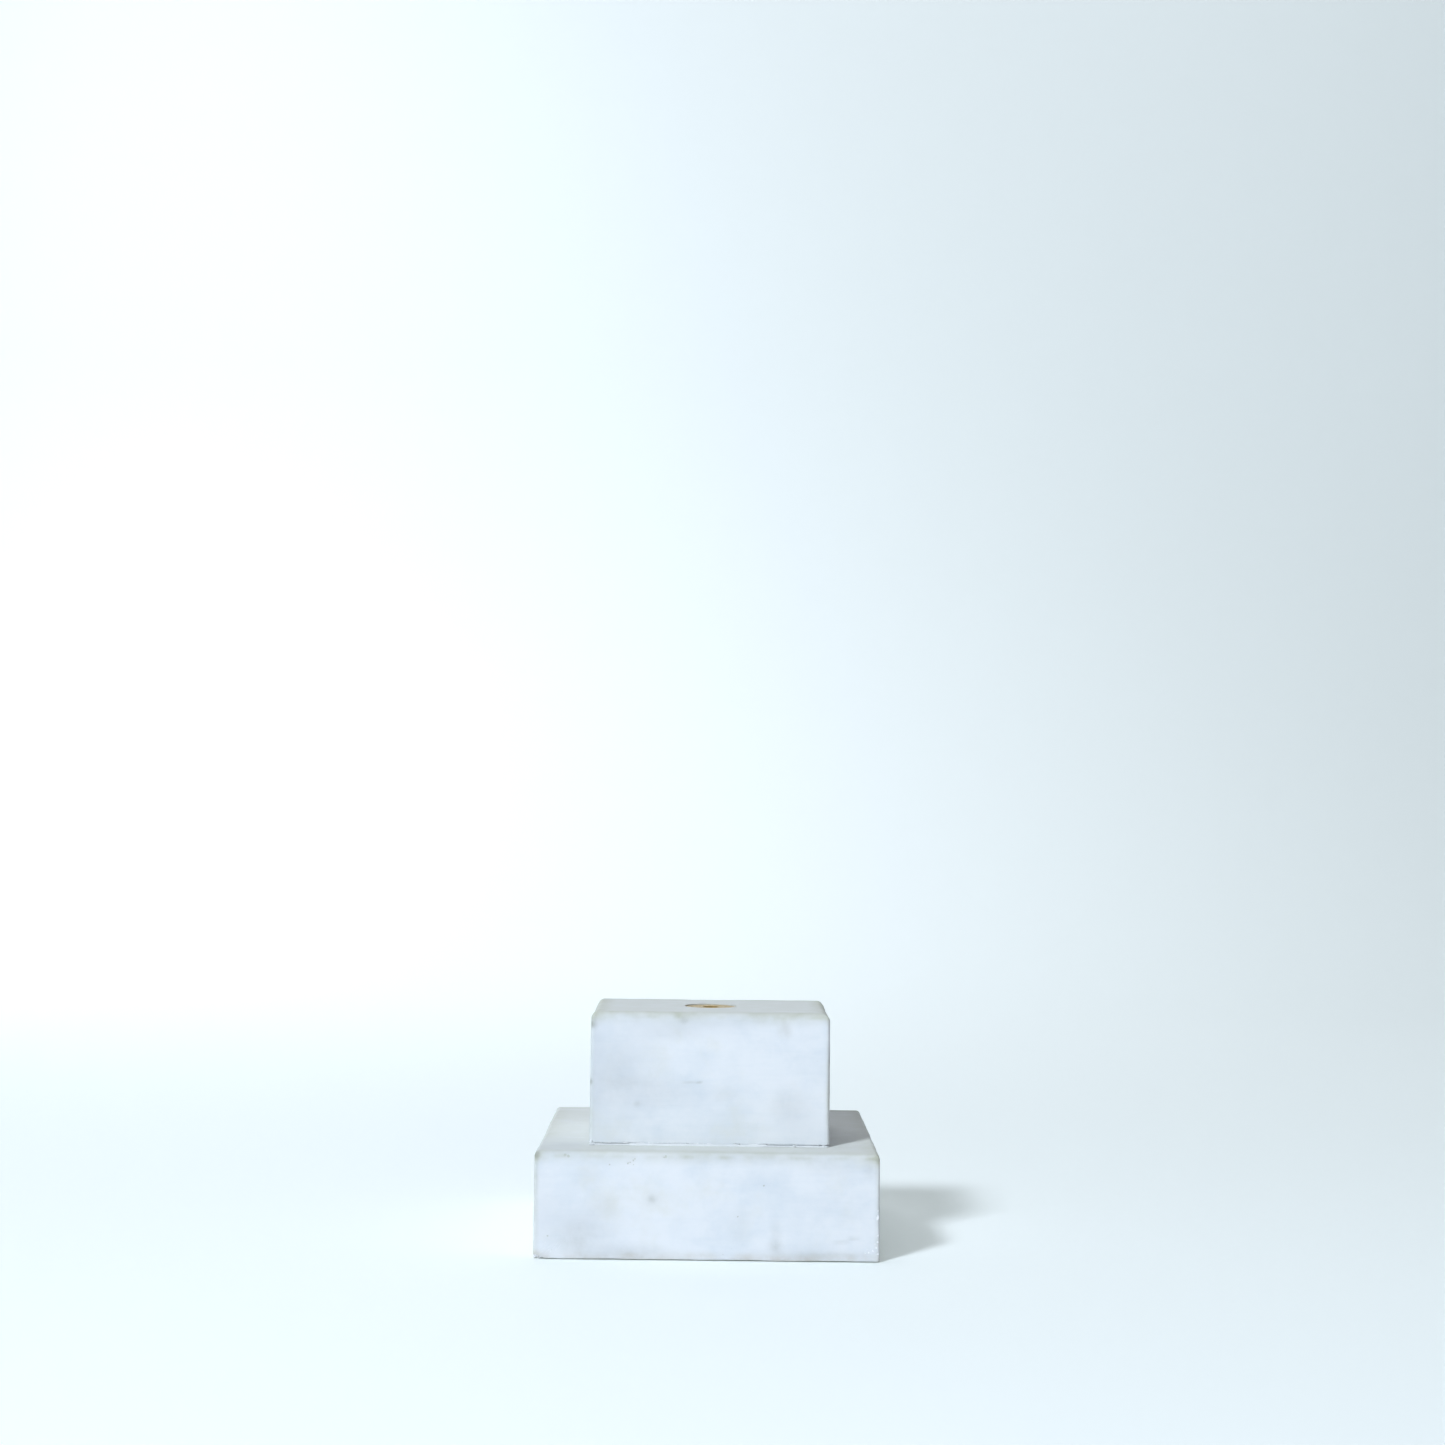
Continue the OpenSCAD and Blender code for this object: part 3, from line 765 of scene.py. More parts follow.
def corner_wad(name, side_x, side_y, seed):
    """A flattened lump in one corner of the rim, cut square where it meets the lining."""
    corner = Vector((side_x * CORNER_HIGH.x, side_y * CORNER_HIGH.y, CORNER_LOW.z))
    radii = Vector((CORNER_RADIUS, CORNER_RADIUS, CORNER_HIGH.z - CORNER_LOW.z))
    mesh = bmesh.new()
    bmesh.ops.create_icosphere(mesh, subdivisions=6, radius=1)
    for vertex in mesh.verts:
        vertex.co = corner + Vector([c * r for c, r in zip(vertex.co, radii)])
    wad = set_piece(name, mesh, WAD_PLASTER)
    swollen(wad, kneaded(vertices(wad), seed, 0.9 * MM))
    reach = np.array(radii) * 1.3
    inward = np.array(corner) - np.array((side_x, side_y, 0)) * reach
    low, high = np.minimum(inward, np.array(corner)), np.maximum(inward, np.array(corner))
    low[2], high[2] = corner.z, corner.z + reach[2]
    return carved(wad, plain_box(name + "_room", low, high, WAD_PLASTER), "INTERSECT")


def joined(name, parts):
    """One piece out of several separate solids."""
    mesh = bmesh.new()
    for part in parts:
        mesh.from_mesh(part.data)
    material = parts[0].data.materials[0]
    for part in parts:
        bpy.data.objects.remove(part)
    return set_piece(name, mesh, material)


corners = [(x, y) for x in (-1, 1) for y in (-1, 1)]
handfuls = [corner_wad(f"wad_{k}", x, y, 50 + 3 * k) for k, (x, y) in enumerate(corners)]
fitted(smooth(joined("corner_wads", handfuls), 60), "wad_plaster", "rim_lath_wads")

BATTEN_GAP = 0.25 * MM
WAD_LENGTH = 22 * MM


def saddle(name, low, high, batten, seed):
    """A wad over one end of a batten: flared where it meets the ceiling, and slotted for the batten."""
    points, quads = ruled_block(low, high, 3 * MM, 0.9 * MM)
    points = rounded(points, 3 * MM, 0.6 * MM, 3 * MM)
    middle = (low[1] + high[1]) / 2
    rise = (points[:, 2] - low[2]) / (high[2] - low[2])
    points[:, 1] = middle + (points[:, 1] - middle) * (0.76 + 0.24 * rise ** 2)
    wad = piece_of(name, points, quads, WAD_PLASTER)
    swollen(wad, kneaded(vertices(wad), seed, 0.9 * MM) - 0.5 * MM * (1 - rise))
    slot_low, slot_high = [c - BATTEN_GAP for c in batten[0]], [c + BATTEN_GAP for c in batten[1]]
    slot_high[2] += 5 * MM
    return carved(wad, plain_box(name + "_slot", slot_low, slot_high, WAD_PLASTER))


def saddles(name, node, batten_node, seed):
    low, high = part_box(node)
    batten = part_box(batten_node)
    left = saddle(name + "_left", low, Vector((low.x + WAD_LENGTH, high.y, high.z)), batten, seed)
    right = saddle(name + "_right", Vector((high.x - WAD_LENGTH, low.y, low.z)), high, batten, seed + 5)
    fitted(smooth(joined(name, [left, right]), 60), "wad_plaster", node)


saddles("lower_saddle_wads", "lower_batten_wads", "lower_batten", 70)
saddles("upper_saddle_wads", "upper_batten_wads", "upper_batten", 80)

# ------------------------ cross battens
# Planed softwood across each hollow under its ceiling. The clamp's pull goes through them into the walls.
BATTEN_WOOD = timber("batten_wood", ALONG_X, tint(220, 197, 158), tint(188, 155, 114), 0.4)
SLEEVE_LOW, SLEEVE_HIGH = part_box("top_socket")
SLEEVE_RADIUS = 6 * MM
HOLE_ROOM = 0.5 * MM
SLEEVE_HOLE = SLEEVE_RADIUS + HOLE_ROOM
for node, radius, seed in (("lower_batten", ROD_HOLE, 90), ("upper_batten", SLEEVE_HOLE, 95)):
    low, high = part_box(node)
    batten = sawn(node + "_board", low, high, BATTEN_WOOD, seed)
    drilled(batten, low.z - PAST_FOOT, high.z + PAST_FOOT, radius, BATTEN_WOOD)
    fitted(smooth(batten), "softwood", node)

# ------------------------ bed between the castings
# A thin bed of fresh plaster that the upper casting was pressed into. It stops short of the faces at the
# ends, where a few crumbs are left, and has squeezed out into a soft lip in the middle of the front.
BED_LOW, BED_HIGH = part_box("joint_bed")
BED_PLASTER = plaster("bed_plaster", tint(244, 245, 245), tint(236, 238, 239), tint(238, 236, 229),
                      tracks=0.2, grain=3.0, streaks=0.0, depth=0.2 * MM)
UPPER_MID = (UPPER_LOW + UPPER_HIGH) / 2
LIP_LEFT, LIP_RIGHT = -38.5 * MM, 29.5 * MM
BED_CELLS = 520
BED_INSET = 1.5 * MM


def bed_outline(x, y):
    """How far the bed's edge lies outside the upper casting's face: negative where it stops short of it."""
    broad, fine = Vector((x, y, 0)) / (5 * MM), Vector((x, y, 1)) / (1.6 * MM)
    ragged = 0.55 * noise.noise(broad) + 0.25 * noise.noise(fine)
    if y > UPPER_LOW.y + 2 * MM:
        return (-1.8 + 1.6 * ragged) * MM
    lip = min(x - LIP_LEFT, LIP_RIGHT - x) / (5 * MM)
    share = min(1, max(0, 0.5 + lip))
    return (share * (-0.55 + 0.7 * ragged) + (1 - share) * (-1.4 + 1.0 * ragged)) * MM


def bed_ring(offset, lift):
    """One level ring of the bed, from the upper casting's outline."""
    half_x, half_y = (UPPER_HIGH.x - UPPER_LOW.x) / 2, (UPPER_HIGH.y - UPPER_LOW.y) / 2
    ring = []
    for k in range(BED_CELLS):
        run = (k / BED_CELLS) * 4
        side, share = int(run), run - int(run)
        along = 2 * share - 1
        x, y = ((along, -1), (1, along), (-along, 1), (-1, -along))[side]
        x, y = UPPER_MID.x + x * half_x, UPPER_MID.y + y * half_y
        out_x, out_y = ((0, -1), (1, 0), (0, 1), (-1, 0))[side]
        move = offset(x, y)
        x = min(max(x + out_x * move, UPPER_LOW.x - 1 * MM), UPPER_HIGH.x + 1 * MM)
        y = y + out_y * move
        reach_x = half_x + (move if out_x else -BED_INSET)
        reach_y = half_y + (move if out_y else -BED_INSET)
        x = UPPER_MID.x + math.copysign(min(abs(x - UPPER_MID.x), reach_x), x - UPPER_MID.x)
        y = UPPER_MID.y + math.copysign(min(abs(y - UPPER_MID.y), reach_y), y - UPPER_MID.y)
        ring.append((x, y, lift))
    return ring


def stacked(rings, capped=True):
    """A solid through rings of equal counts: capped at both ends, or else closed on itself."""
    count = len(rings[0])
    points = [p for ring in rings for p in ring]
    faces = []
    for a in range(len(rings) - capped):
        b = (a + 1) % len(rings)
        faces += [(a * count + k, a * count + (k + 1) % count, b * count + (k + 1) % count, b * count + k)
                  for k in range(count)]
    if capped:
        faces += [list(range(count))[::-1], [len(points) - count + k for k in range(count)]]
    return points, faces


BED_PROFILE = (
    # height up the bed, how far it bulges where it is open, how far where it has squeezed out
    (0.0, 1.3, 1.2),
    (0.35, 1.4, 1.3),
    (0.6, 0.9, 1.25),
    (0.8, 0.3, 1.1),
    (1.0, -0.1, 0.9),
)
thick = BED_HIGH.z - BED_LOW.z


def bulged(lean, full):
    """The bed's edge at one height: lean where the joint is open, full along the squeeze-out."""
    def edge(x, y):
        lip = min(x - LIP_LEFT, LIP_RIGHT - x) / (3 * MM)
        share = min(1, max(0, 0.5 + lip)) if y < UPPER_LOW.y + 2 * MM else 0
        return bed_outline(x, y) + (lean + (full - lean) * share) * MM
    return edge


rings = [bed_ring(bulged(lean, full), BED_LOW.z + share * thick) for share, lean, full in BED_PROFILE]
BED_WIDTH = 11.6 * MM
rings += [bed_ring(lambda x, y: -BED_WIDTH, BED_LOW.z + share * thick) for share in (1.0, 0.5, 0.0)]
bed = piece_of("bedding_plaster", *stacked(rings, capped=False), BED_PLASTER)
CRUMBS = (
    # along, out from the face, up from the bed's foot, half-width, half-depth, half-height
    (-58.2, -0.7, 1.4, 0.8, 0.8, 1.2),
    (-57.6, -0.5, 0.6, 1.4, 0.8, 0.6),
    (-38.2, -0.6, 0.45, 1.3, 0.7, 0.4),
    (52.4, -0.9, 0.4, 1.1, 0.7, 0.3),
    (55.6, -0.8, 0.6, 0.8, 0.6, 0.35),
    (58.0, -0.9, 0.5, 1.0, 0.7, 0.4),
    (43.0, -1.0, 0.35, 2.0, 0.7, 0.25),
)
spots = [((x * MM, UPPER_LOW.y - y * MM, BED_LOW.z + z * MM), (w * MM, d * MM, h * MM),
          (0.1 * k, 0.2, 0.3 * k)) for k, (x, y, z, w, d, h) in enumerate(CRUMBS)]
bed = joined("bedding_plaster", [bed, grit("crumbs", spots, BED_PLASTER, 3, 0.7, 8, square=0.3)])
smooth(bed, 60)
fitted(bed, "bedding_plaster", "joint_bed")

# ------------------------ upper casting
# A smaller hollow block from the same mould shop, with softer corners, a bruised foot, and a seat in its
# top for the socket's flange.
UPPER_SCRIM_LOW, UPPER_SCRIM_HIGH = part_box("upper_scrim")
UPPER_CORNER, UPPER_CROWN, UPPER_DRAFT = 1.7 * MM, 4.2, 0.5 * MM
points, quads = ruled_block(UPPER_LOW, UPPER_HIGH, 5.5 * MM, (0.95 * MM, 1.3 * MM, 1.0 * MM))
crown = (UPPER_CROWN + 0.9 * lumps(points, 22 * MM, 101) + 0.4 * lumps(points, 8 * MM, 102)) * MM
foot = (0.25 + 0.5 * abs(lumps(points, 6 * MM, 103))) * MM
points = drafted(rounded(points, UPPER_CORNER, crown, foot), UPPER_DRAFT)
upper_tier = piece_of("upper_casting", points, quads, CAST_PLASTER)
at = vertices(upper_tier)
swollen(upper_tier, (0.2 * lumps(at, 40 * MM, 104) + 0.09 * lumps(at, 10 * MM, 106)) * MM)

bubbles = [(-12.6, 61.2, 0.45), (-47.0, 40.5, 0.3), (22.0, 48.0, 0.3), (34.0, 57.5, 0.35),
           (-30.0, 20.0, 0.3)]
spots = pits_in(UPPER_LOW, bubbles) + strewn(12, 20, UPPER_LOW, UPPER_HIGH, 0.8 * MM)
carved(upper_tier, grit("bubbles", spots, DIRTY_PIT, 2, 0.5, 4))

# The foot's front edge is bruised all along, and three of its corners are knocked off.
draw = random.Random(5)
spots = []
for k in range(34):
    x = draw.uniform(UPPER_LOW.x + 2 * MM, UPPER_HIGH.x - 2 * MM)
    radii = [draw.uniform(0.6, 2.4) * MM, draw.uniform(0.3, 0.8) * MM, draw.uniform(0.25, 0.6) * MM]
    z = UPPER_LOW.z + draw.uniform(-0.2, 0.2) * MM
    spots.append(((x, UPPER_LOW.y, z), radii, (0, draw.uniform(-0.2, 0.2), 0)))
for x, y in ((UPPER_LOW.x, UPPER_LOW.y), (UPPER_HIGH.x, UPPER_LOW.y), (UPPER_HIGH.x, UPPER_HIGH.y)):
    centre = (x, y + 1 * MM, UPPER_LOW.z + 0.3 * MM)
    spots.append((centre, (1.6 * MM, 1.4 * MM, 1.2 * MM), (0.3, 0.4, 0.5)))
carved(upper_tier, grit("foot_chips", spots, FRESH_BREAK, 2, 0.9, 5))

core_low = (UPPER_SCRIM_LOW.x, UPPER_SCRIM_LOW.y, UPPER_LOW.z - PAST_FOOT)
core_high = tuple(UPPER_SCRIM_HIGH)
carved(upper_tier, hollow_of("upper_core", core_low, core_high, 3 * MM))
FLANGE_RADIUS = (SLEEVE_HIGH.x - SLEEVE_LOW.x) / 2
FLANGE_THICK = 3 * MM
SEAT = SLEEVE_HIGH.z - FLANGE_THICK
drilled(upper_tier, core_high[2] - PAST_FOOT, UPPER_HIGH.z + PAST_FOOT, SLEEVE_HOLE, INNER_FACE)
drilled(upper_tier, SEAT, UPPER_HIGH.z + PAST_FOOT, FLANGE_RADIUS + HOLE_ROOM, INNER_FACE, 96)
for node in DOWELS:
    low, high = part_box(node)
    drilled(upper_tier, UPPER_LOW.z - PAST_FOOT, high.z + 0.5 * MM, DOWEL_HOLE, INNER_FACE,
            x=(low.x + high.x) / 2)
smooth(upper_tier)
UPPER_MARKS = (
    # along, up the face, half-width, half-height, strength
    (-58.0, 59.5, 3.5, 5, 0.4),
    (-58.3, 59.0, 1.4, 3, 0.5),
    (-59.0, 30.6, 1.6, 2.6, 0.95),
    (-4.6, 30.7, 2.2, 1.0, 0.55),
    (-9.0, 30.4, 6, 0.8, 0.3),
    (-35.5, 19.6, 3.4, 2.4, 0.2),
    (38.0, 57.0, 6, 6, 0.22),
    (-12.5, 61.5, 3.5, 2.5, 0.3),
    (-48.0, 34.0, 14, 26, 0.12),
    (-38.0, 30.5, 22, 5, 0.1),
    (-25.0, 26.0, 26, 12, 0.06),
    (-18.0, 56.0, 20, 6, 0.09),
    (40.0, 20.0, 14, 14, 0.1),
    (8.0, 25.0, 10, 7, 0.09),
    (60.4, 30.0, 1.6, 34, 0.3),
    (-60.2, 38.0, 2.4, 36, 0.14),
)
# Patches where the upper front is darkened in broad cool grey.
UPPER_DARKENINGS = (
    (-44.0, 36.0, 34, 38, 0.34),
    (-60.0, 38.0, 11, 44, 0.3),
    (-22.0, 24.0, 34, 12, 0.14),
    (-10.0, 58.0, 50, 10, 0.2),
    (0.0, 61.0, 70, 6, 0.14),
    (44.0, 14.0, 18, 16, 0.14),
)
soiled(upper_tier, UPPER_LOW, UPPER_HIGH, on_front(UPPER_MARKS, UPPER_LOW), on_front(UPPER_DARKENINGS, UPPER_LOW),
       27, wet_foot=0.1, handled=0.85)
fitted(upper_tier, "cast_plaster", "upper_tier")
lining("upper_scrim_lining", "upper_scrim", SLEEVE_HOLE)

# ------------------------ locating dowels
# Fluted beech dowels, glued into the upper casting and a snug fit in the lower one.
DOWEL_WOOD = timber("dowel_wood", ALONG_Z, tint(224, 198, 160), tint(196, 160, 118), 0.2)
FLUTES = 18
FLUTE_DEPTH = 0.22 * MM


def level_ring(x, y, z, radii):
    """Points at these distances from an upright line, all at one height."""
    turns = [2 * math.pi * k / len(radii) for k in range(len(radii))]
    return [(x + r * math.cos(turn), y + r * math.sin(turn), z) for r, turn in zip(radii, turns)]


for node in DOWELS:
    low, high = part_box(node)
    middle, radius = (low + high) / 2, (high.x - low.x) / 2
    rings = []
    for share in np.linspace(0, 1, 25):
        end = min(share, 1 - share) * (high.z - low.z)
        bevel = min(0, end - 0.8 * MM) * 0.6
        turns = [2 * math.pi * k / (FLUTES * 6) for k in range(FLUTES * 6)]
        radii = [radius + bevel - FLUTE_DEPTH * max(0, math.cos(FLUTES * turn)) ** 2 for turn in turns]
        rings.append(level_ring(middle.x, middle.y, low.z + share * (high.z - low.z), radii))
    fitted(smooth(piece_of(node + "_peg", *stacked(rings), DOWEL_WOOD)), "dowel_wood", node)

# ------------------------ socket, tie rod, washer and nuts
# The clamp. A turned brass socket in the top is tapped from both ends: the exhibit's stud goes in above,
# the tie rod below. The zinc-plated rod is tightened under the lower batten by a nut and a lock nut on a
# square plate washer.
PITCH = 1.25 * MM
THREAD_DEPTH = 0.68 * MM
ROD_RADIUS = (ROD_HIGH.x - ROD_LOW.x) / 2

WORN_METAL, inner, out = effect(
    "worn metal",
    {"Place": "Vector", "Bright": "Color", "Dull": "Color", "Polish": "Float", "Spread": "Float",
     "Turning": "Float"},
    {"Color": "Color", "Roughness": "Float", "Height": "Float"},
)
tree = WORN_METAL
patch = ramped(tree, noise_at(tree, inner["Place"], 420, detail=7, roughness=0.65), 0.35, 0.8)
away = shader(tree, "VectorMath", {0: inner["Place"], 1: (AXIS.x, AXIS.y, 0)}, operation="SUBTRACT").outputs
level = shader(tree, "VectorMath", {0: away[0], 1: (1, 1, 0)}, operation="MULTIPLY").outputs
radius = shader(tree, "VectorMath", {0: level[0]}, operation="LENGTH").outputs["Value"]
ring = shader(tree, "TexNoise", {"W": product(tree, radius, 9000.0), "Scale": 1.0},
              noise_dimensions="1D").outputs[0]
fine = maths(tree, "MULTIPLY_ADD", ring, inner["Turning"], noise_at(tree, inner["Place"], 4200, detail=3))
tree.links.new(blended(tree, patch, inner["Bright"], inner["Dull"]), out["Color"])
tree.links.new(maths(tree, "MULTIPLY_ADD", patch, inner["Spread"], inner["Polish"]), out["Roughness"])
tree.links.new(maths(tree, "MULTIPLY_ADD", fine, 0.4, patch), out["Height"])


def metal(name, bright, dull, polish, spread, turning):
    material, tree, surface, place = bare_material(name, Metallic=1.0)
    worn = placed(tree, WORN_METAL, {"Place": place, "Bright": bright, "Dull": dull, "Polish": polish,
                                     "Spread": spread, "Turning": turning})
    skinned(tree, surface, worn["Color"], worn["Height"], 0.02 * MM)
    tree.links.new(worn["Roughness"], surface["Roughness"])
    return material


ZINC = metal("zinc_plate", tint(200, 203, 203), tint(172, 175, 174), 0.34, 0.2, 0.0)
BRASS = metal("turned_brass", tint(206, 180, 122), tint(178, 148, 92), 0.32, 0.2, 2.5)


def turned(name, outline, sides, material):
    """A solid of revolution round the clamp's axis, from (radius, height) points."""
    rings = [level_ring(AXIS.x, AXIS.y, z, [r] * sides) for r, z in outline]
    return piece_of(name, *stacked(rings), material)


def threaded(name, radius, low, high, point, material, sides=40, levels=7):
    """A threaded bar round the clamp's axis: one helix, with a cone at each end where point is above 0."""
    steps = round((high - low) / PITCH * levels)
    rings = []
    for step in range(steps + 1):
        z = low + (high - low) * step / steps
        radii = []
        for k in range(sides):
            phase = ((z - low) / PITCH - k / sides) % 1
            wave = min(1, max(0, 2.6 * abs(phase - 0.5) - 0.15))
            r = radius - THREAD_DEPTH * (1 - wave)
            radii.append(min(r, radius - point + min(z - low, high - z)) if point else r)
        rings.append(level_ring(AXIS.x, AXIS.y, z, radii))
    return piece_of(name, *stacked(rings), material)


rod = threaded("threaded_rod", ROD_RADIUS, ROD_LOW.z, ROD_HIGH.z, 1.0 * MM, ZINC)
fitted(smooth(rod, 35), "zinc_steel", "tie_rod")

BEVEL = 0.5 * MM
top, bottom = SLEEVE_HIGH.z, SLEEVE_LOW.z
profile = [(SLEEVE_RADIUS - BEVEL, bottom), (SLEEVE_RADIUS, bottom + BEVEL), (SLEEVE_RADIUS, SEAT - BEVEL),
           (SLEEVE_RADIUS + BEVEL, SEAT), (FLANGE_RADIUS - BEVEL, SEAT), (FLANGE_RADIUS, SEAT + BEVEL),
           (FLANGE_RADIUS, top - BEVEL), (FLANGE_RADIUS - BEVEL, top)]
FACE_RINGS = ((10.4, 0), (10.2, 0.14), (9.8, 0.14), (9.6, 0), (6.4, 0), (6.2, 0.12), (5.8, 0.12), (5.6, 0))
profile += [(r * MM, top - deep * MM) for r, deep in FACE_RINGS]
socket = turned("brass_socket", profile, 96, BRASS)
STUD_HOLE, ROD_SOCKET, TAPPED = 22 * MM, 18 * MM, 4 * MM
carved(socket, threaded("stud_thread", TAPPED + 0.25 * MM, top - STUD_HOLE, top + 2 * PITCH, 0, BRASS))
carved(socket, threaded("rod_thread", TAPPED + 0.15 * MM, bottom - 2 * PITCH, bottom + ROD_SOCKET, 0, BRASS))
mouth = [(TAPPED - 0.6 * MM, top - 1.0 * MM), (TAPPED + 0.7 * MM, top + 0.3 * MM)]
carved(socket, turned("stud_mouth", mouth, 64, BRASS))
fitted(smooth(socket, 30), "brass", "top_socket")

# The plate washer is sheared from strip, so its edges are rolled over on one side.
low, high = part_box("plate_washer")
points, quads = ruled_block(low, high, (1.2 * MM, 1.2 * MM, 0.8 * MM), (2 * MM, 2 * MM, 1 * MM))
washer = piece_of("square_washer", rounded(points, 1.0 * MM, 0.25 * MM, 0.7 * MM), quads, ZINC)
swollen(washer, lumps(vertices(washer), 6 * MM, 111) * 0.03 * MM)
drilled(washer, low.z - PAST_FOOT, high.z + PAST_FOOT, ROD_HOLE, ZINC)
fitted(smooth(washer, 30), "zinc_steel", "plate_washer")

NUT_FLATS = 13 * MM
HAIR = 0.001 * MM
for node in ("clamp_nut", "lock_nut"):
    low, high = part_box(node)
    across = NUT_FLATS / math.cos(math.pi / 6) / 2
    nut = bar(node + "_hexagon", low.z, high.z, across, ZINC, 6)
    slope, rim, belly = 0.9 * MM, across - 0.85 * MM, across + 0.1 * MM
    barrel = [(rim, low.z - HAIR), (belly, low.z + slope), (belly, high.z - slope), (rim, high.z + HAIR)]
    carved(nut, turned(node + "_bevels", barrel, 96, ZINC), "INTERSECT")
    tap = threaded(node + "_thread", TAPPED + 0.15 * MM, low.z - 2 * PITCH, high.z + 2 * PITCH, 0, ZINC)
    carved(nut, tap)
    for end, way in ((low.z, -1), (high.z, 1)):
        cone = [(TAPPED - 0.6 * MM, end - way * 0.8 * MM), (TAPPED + 0.6 * MM, end + way * 0.4 * MM)]
        carved(nut, turned(node + "_mouth", cone[::way], 64, ZINC))
    fitted(smooth(nut, 30), "zinc_steel", node)

# ------------------------ base pads
# Thin discs of pressed wool felt, cut with a punch and glued near the corners, squashed a little at the
# rim.
FELT, tree, surface, place = bare_material("wool_felt", Roughness=0.95, Specular_IOR_Level=0.1,
                                           Sheen_Weight=0.4)
strands = noise_at(tree, stretched(tree, place, (1, 0.3, 1)), 2200, detail=6, roughness=0.7)
flecks = noise_at(tree, place, 500, detail=5)
tone = blended(tree, ramped(tree, strands, 0.35, 0.7), tint(74, 78, 78), tint(112, 116, 114))
tone = blended(tree, ramped(tree, flecks, 0.6, 0.75), tone, tint(150, 150, 144))
skinned(tree, surface, tone, strands, 0.2 * MM)
PAD_LOW, PAD_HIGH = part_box("base_pads")
PAD_RADIUS = 7 * MM
PAD_SIDES = 72
PAD_PROFILE = ((1.5, 0), (4, 0), (6.3, 0), (6.8, 0.1), (7, 0.35), (6.95, 0.7), (6.8, 1), (4, 1), (1.5, 1))
thick = PAD_HIGH.z - PAD_LOW.z
discs = []
for number, (side_x, side_y) in enumerate(corners):
    x, y = side_x * (PAD_HIGH.x - PAD_RADIUS), side_y * (PAD_HIGH.y - PAD_RADIUS)
    rings = []
    for radius, share in PAD_PROFILE:
        radii = []
        for k in range(PAD_SIDES):
            turn = 2 * math.pi * k / PAD_SIDES
            place = Vector((math.cos(turn) * 6, math.sin(turn) * 6, number * 3 + share))
            radii.append(radius * MM * min(1 + 0.025 * noise.noise(place), 1.0))
        rings.append(level_ring(x, y, PAD_LOW.z + share * thick, radii))
    discs.append(piece_of(f"pad_{number}", *stacked(rings), FELT))
fitted(smooth(joined("felt_pads", discs), 50), "felt", "base_pads")

# ------------------------ stage, light and camera
# A pale floor that sweeps up into a backdrop, cool daylight from the front left and above, and the camera.
FLOOR_HALF, SWEEP_START, SWEEP_RADIUS, SWEEP_TOP = 4.0, 1.3, 0.8, 3.5
rows = [(-3.0, 0.0), (SWEEP_START, 0.0)]
rows += [(SWEEP_START + SWEEP_RADIUS * math.sin(a), SWEEP_RADIUS * (1 - math.cos(a)))
         for a in np.linspace(0, math.pi / 2, 24)[1:]]
rows.append((SWEEP_START + SWEEP_RADIUS, SWEEP_TOP))
points = [(x, y, z) for y, z in rows for x in (-FLOOR_HALF, FLOOR_HALF)]
faces = [(2 * k, 2 * k + 1, 2 * k + 3, 2 * k + 2) for k in range(len(rows) - 1)]
STAGE_PAINT, tree, surface, place = bare_material("stage_paint", Base_Color=tint(250, 251, 252),
                                                  Roughness=0.55, Emission_Color=(0.083, 0.11, 0.077, 1))
tree.links.new(shader(tree, "LightPath").outputs["Is Camera Ray"], surface["Emission Strength"])
behind = shader(tree, "NewGeometry").outputs["Backfacing"]
clear = shader(tree, "BsdfTransparent").outputs[0]
paint = tree.nodes["Principled BSDF"].outputs[0]
one_sided = shader(tree, "MixShader", {0: behind, 1: paint, 2: clear}).outputs[0]
tree.links.new(one_sided, tree.nodes["Material Output"].inputs["Surface"])
sweep = smooth(piece_of("sweep", points, faces, STAGE_PAINT), 80)

world = bpy.data.worlds.new("daylight")
bpy.context.scene.world = world
world.use_nodes = True
ambient = world.node_tree.nodes["Background"]
ambient.inputs["Color"].default_value = (0.74, 0.83, 1.0, 1)
ambient.inputs["Strength"].default_value = 0.127
backdrop = shader(world.node_tree, "Background", {"Color": (0.7, 0.79, 0.87, 1), "Strength": 1.0}).outputs[0]
seen = shader(world.node_tree, "LightPath").outputs["Is Camera Ray"]
sky = shader(world.node_tree, "MixShader", {0: seen, 1: ambient.outputs[0], 2: backdrop}).outputs[0]
world.node_tree.links.new(sky, world.node_tree.nodes["World Output"].inputs["Surface"])


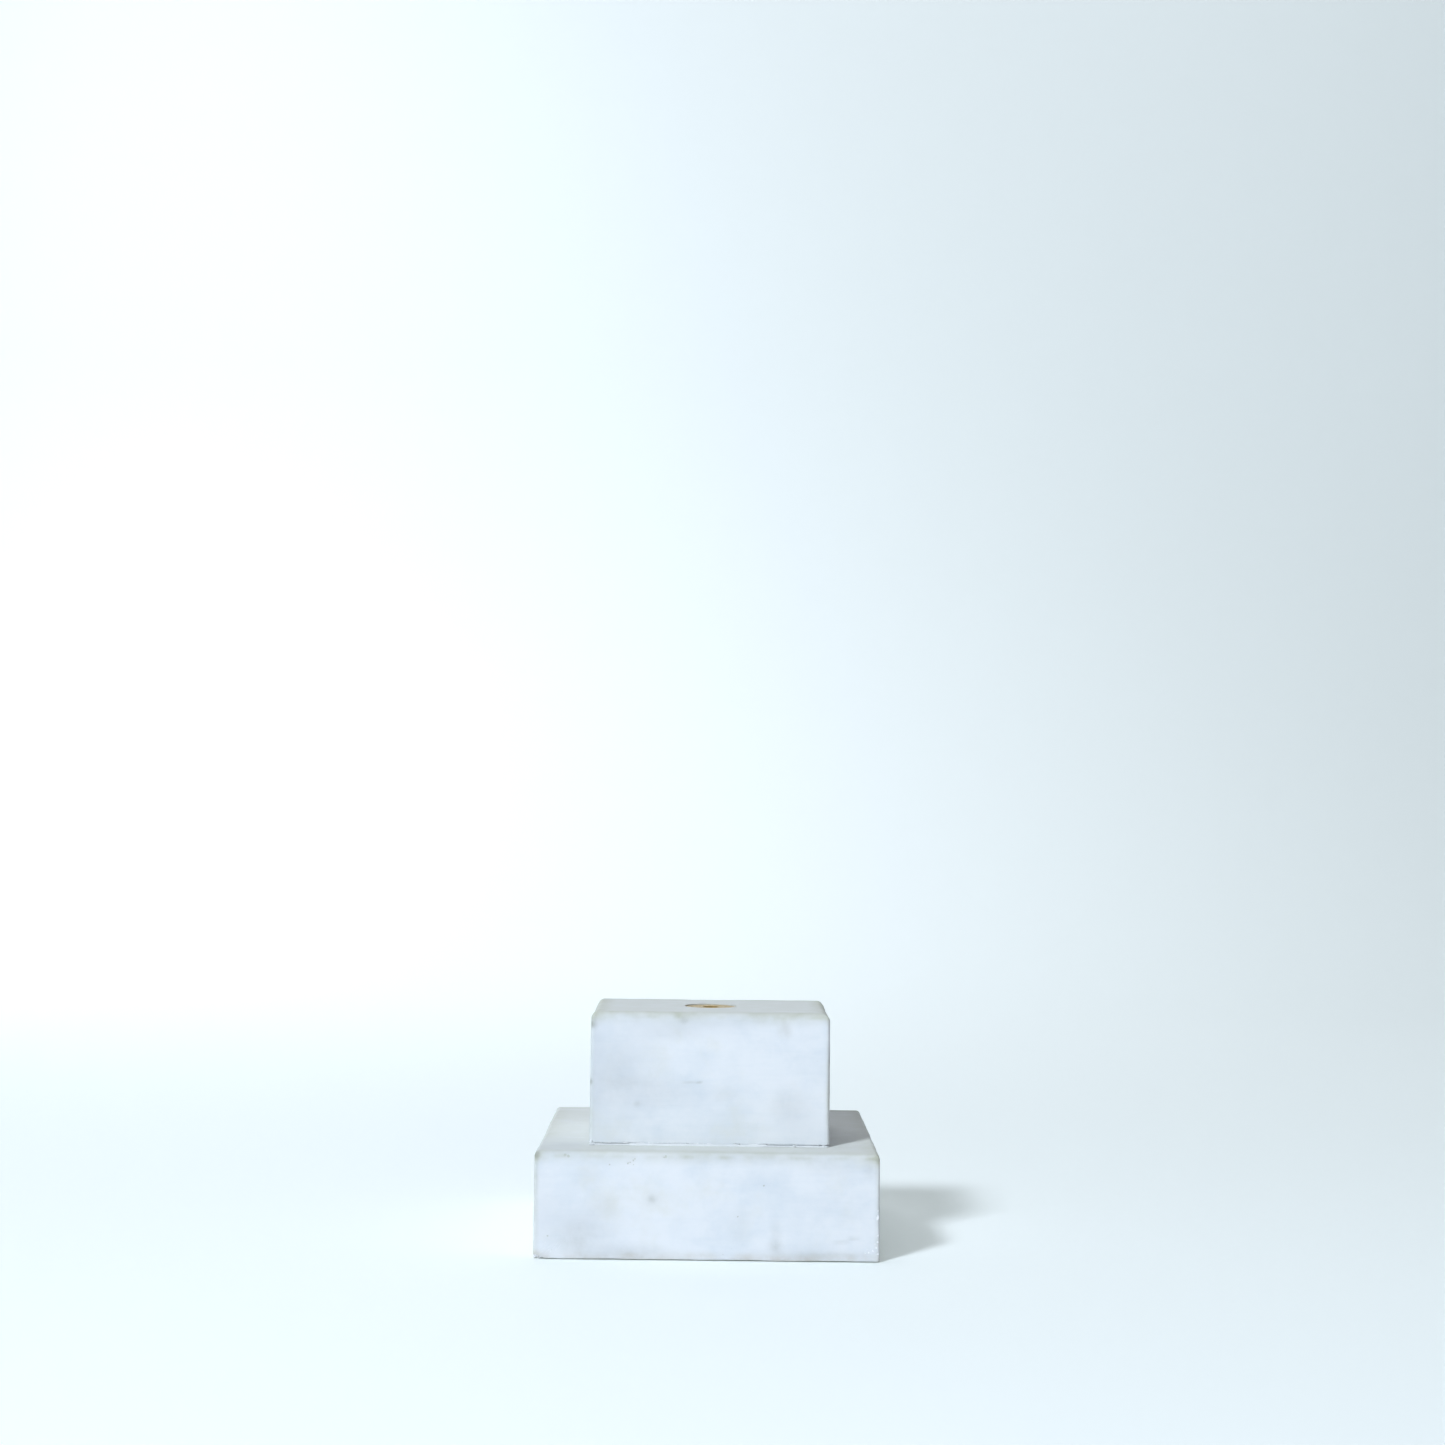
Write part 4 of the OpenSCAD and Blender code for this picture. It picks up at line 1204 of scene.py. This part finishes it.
def window(name, where, aim, size, watts, colour):
    """A square area light of this size in metres."""
    light = bpy.data.lights.new(name, "AREA")
    light.shape, light.size, light.energy, light.color = "SQUARE", size, watts, colour
    obj = bpy.data.objects.new(name, light)
    obj.location = where
    obj.rotation_euler = (Vector(aim) - Vector(where)).to_track_quat("-Z", "Y").to_euler()
    bpy.context.scene.collection.objects.link(obj)
    return obj


KEY_TURN, KEY_RISE, KEY_AWAY = math.radians(33), math.radians(38), 3.4
out = KEY_AWAY * math.cos(KEY_RISE)
key_place = (-out * math.sin(KEY_TURN), -out * math.cos(KEY_TURN), KEY_AWAY * math.sin(KEY_RISE))
window("key_window", key_place, (0, 0, 0.05), 0.5, 96, (0.81, 0.905, 1.0))
window("top_fill", (0.0, 0.9, 2.6), (0, 0, 0.05), 2.4, 17, (0.94, 0.96, 1.0))
bounce = window("side_bounce", (2.2, 0.0, 0.2), (0, 0, 0.06), 0.2, 0.038, (0.94, 0.97, 1.0))
bounce.data.spread = math.radians(20)
wash = window("backdrop_wash", (-0.9, 1.2, 2.2), (-0.7, 1.7, 0.0), 0.8, 4, (0.85, 0.93, 1.0))
wash.data.spread = math.radians(80)

# The camera stands a little above the plinth's top and looks slightly up.
PITCH_UP, ROLL, TURN = 0.0235, 0.0119, 0.0035
FOCAL = 62.62
CAMERA_PLACE = Vector((0.5, -1323.4, 234.3)) * MM
camera_data = bpy.data.cameras.new("camera")
camera_data.lens, camera_data.sensor_width = FOCAL, 36
camera_data.clip_start = 0.01
camera = bpy.data.objects.new("camera", camera_data)
ahead = Vector((math.sin(TURN) * math.cos(PITCH_UP), math.cos(TURN) * math.cos(PITCH_UP), math.sin(PITCH_UP)))
level = Vector((math.cos(TURN), -math.sin(TURN), 0))
up = level.cross(ahead)
right = math.cos(ROLL) * level + math.sin(ROLL) * up
upward = math.cos(ROLL) * up - math.sin(ROLL) * level
stand = Matrix((right, upward, -ahead)).transposed().to_4x4()
stand.translation = CAMERA_PLACE + Vector((0, 0, LOWER_LOW.z))
camera.matrix_world = stand
bpy.context.scene.collection.objects.link(camera)
bpy.context.scene.camera = camera
bpy.context.scene.view_settings.view_transform = "Standard"
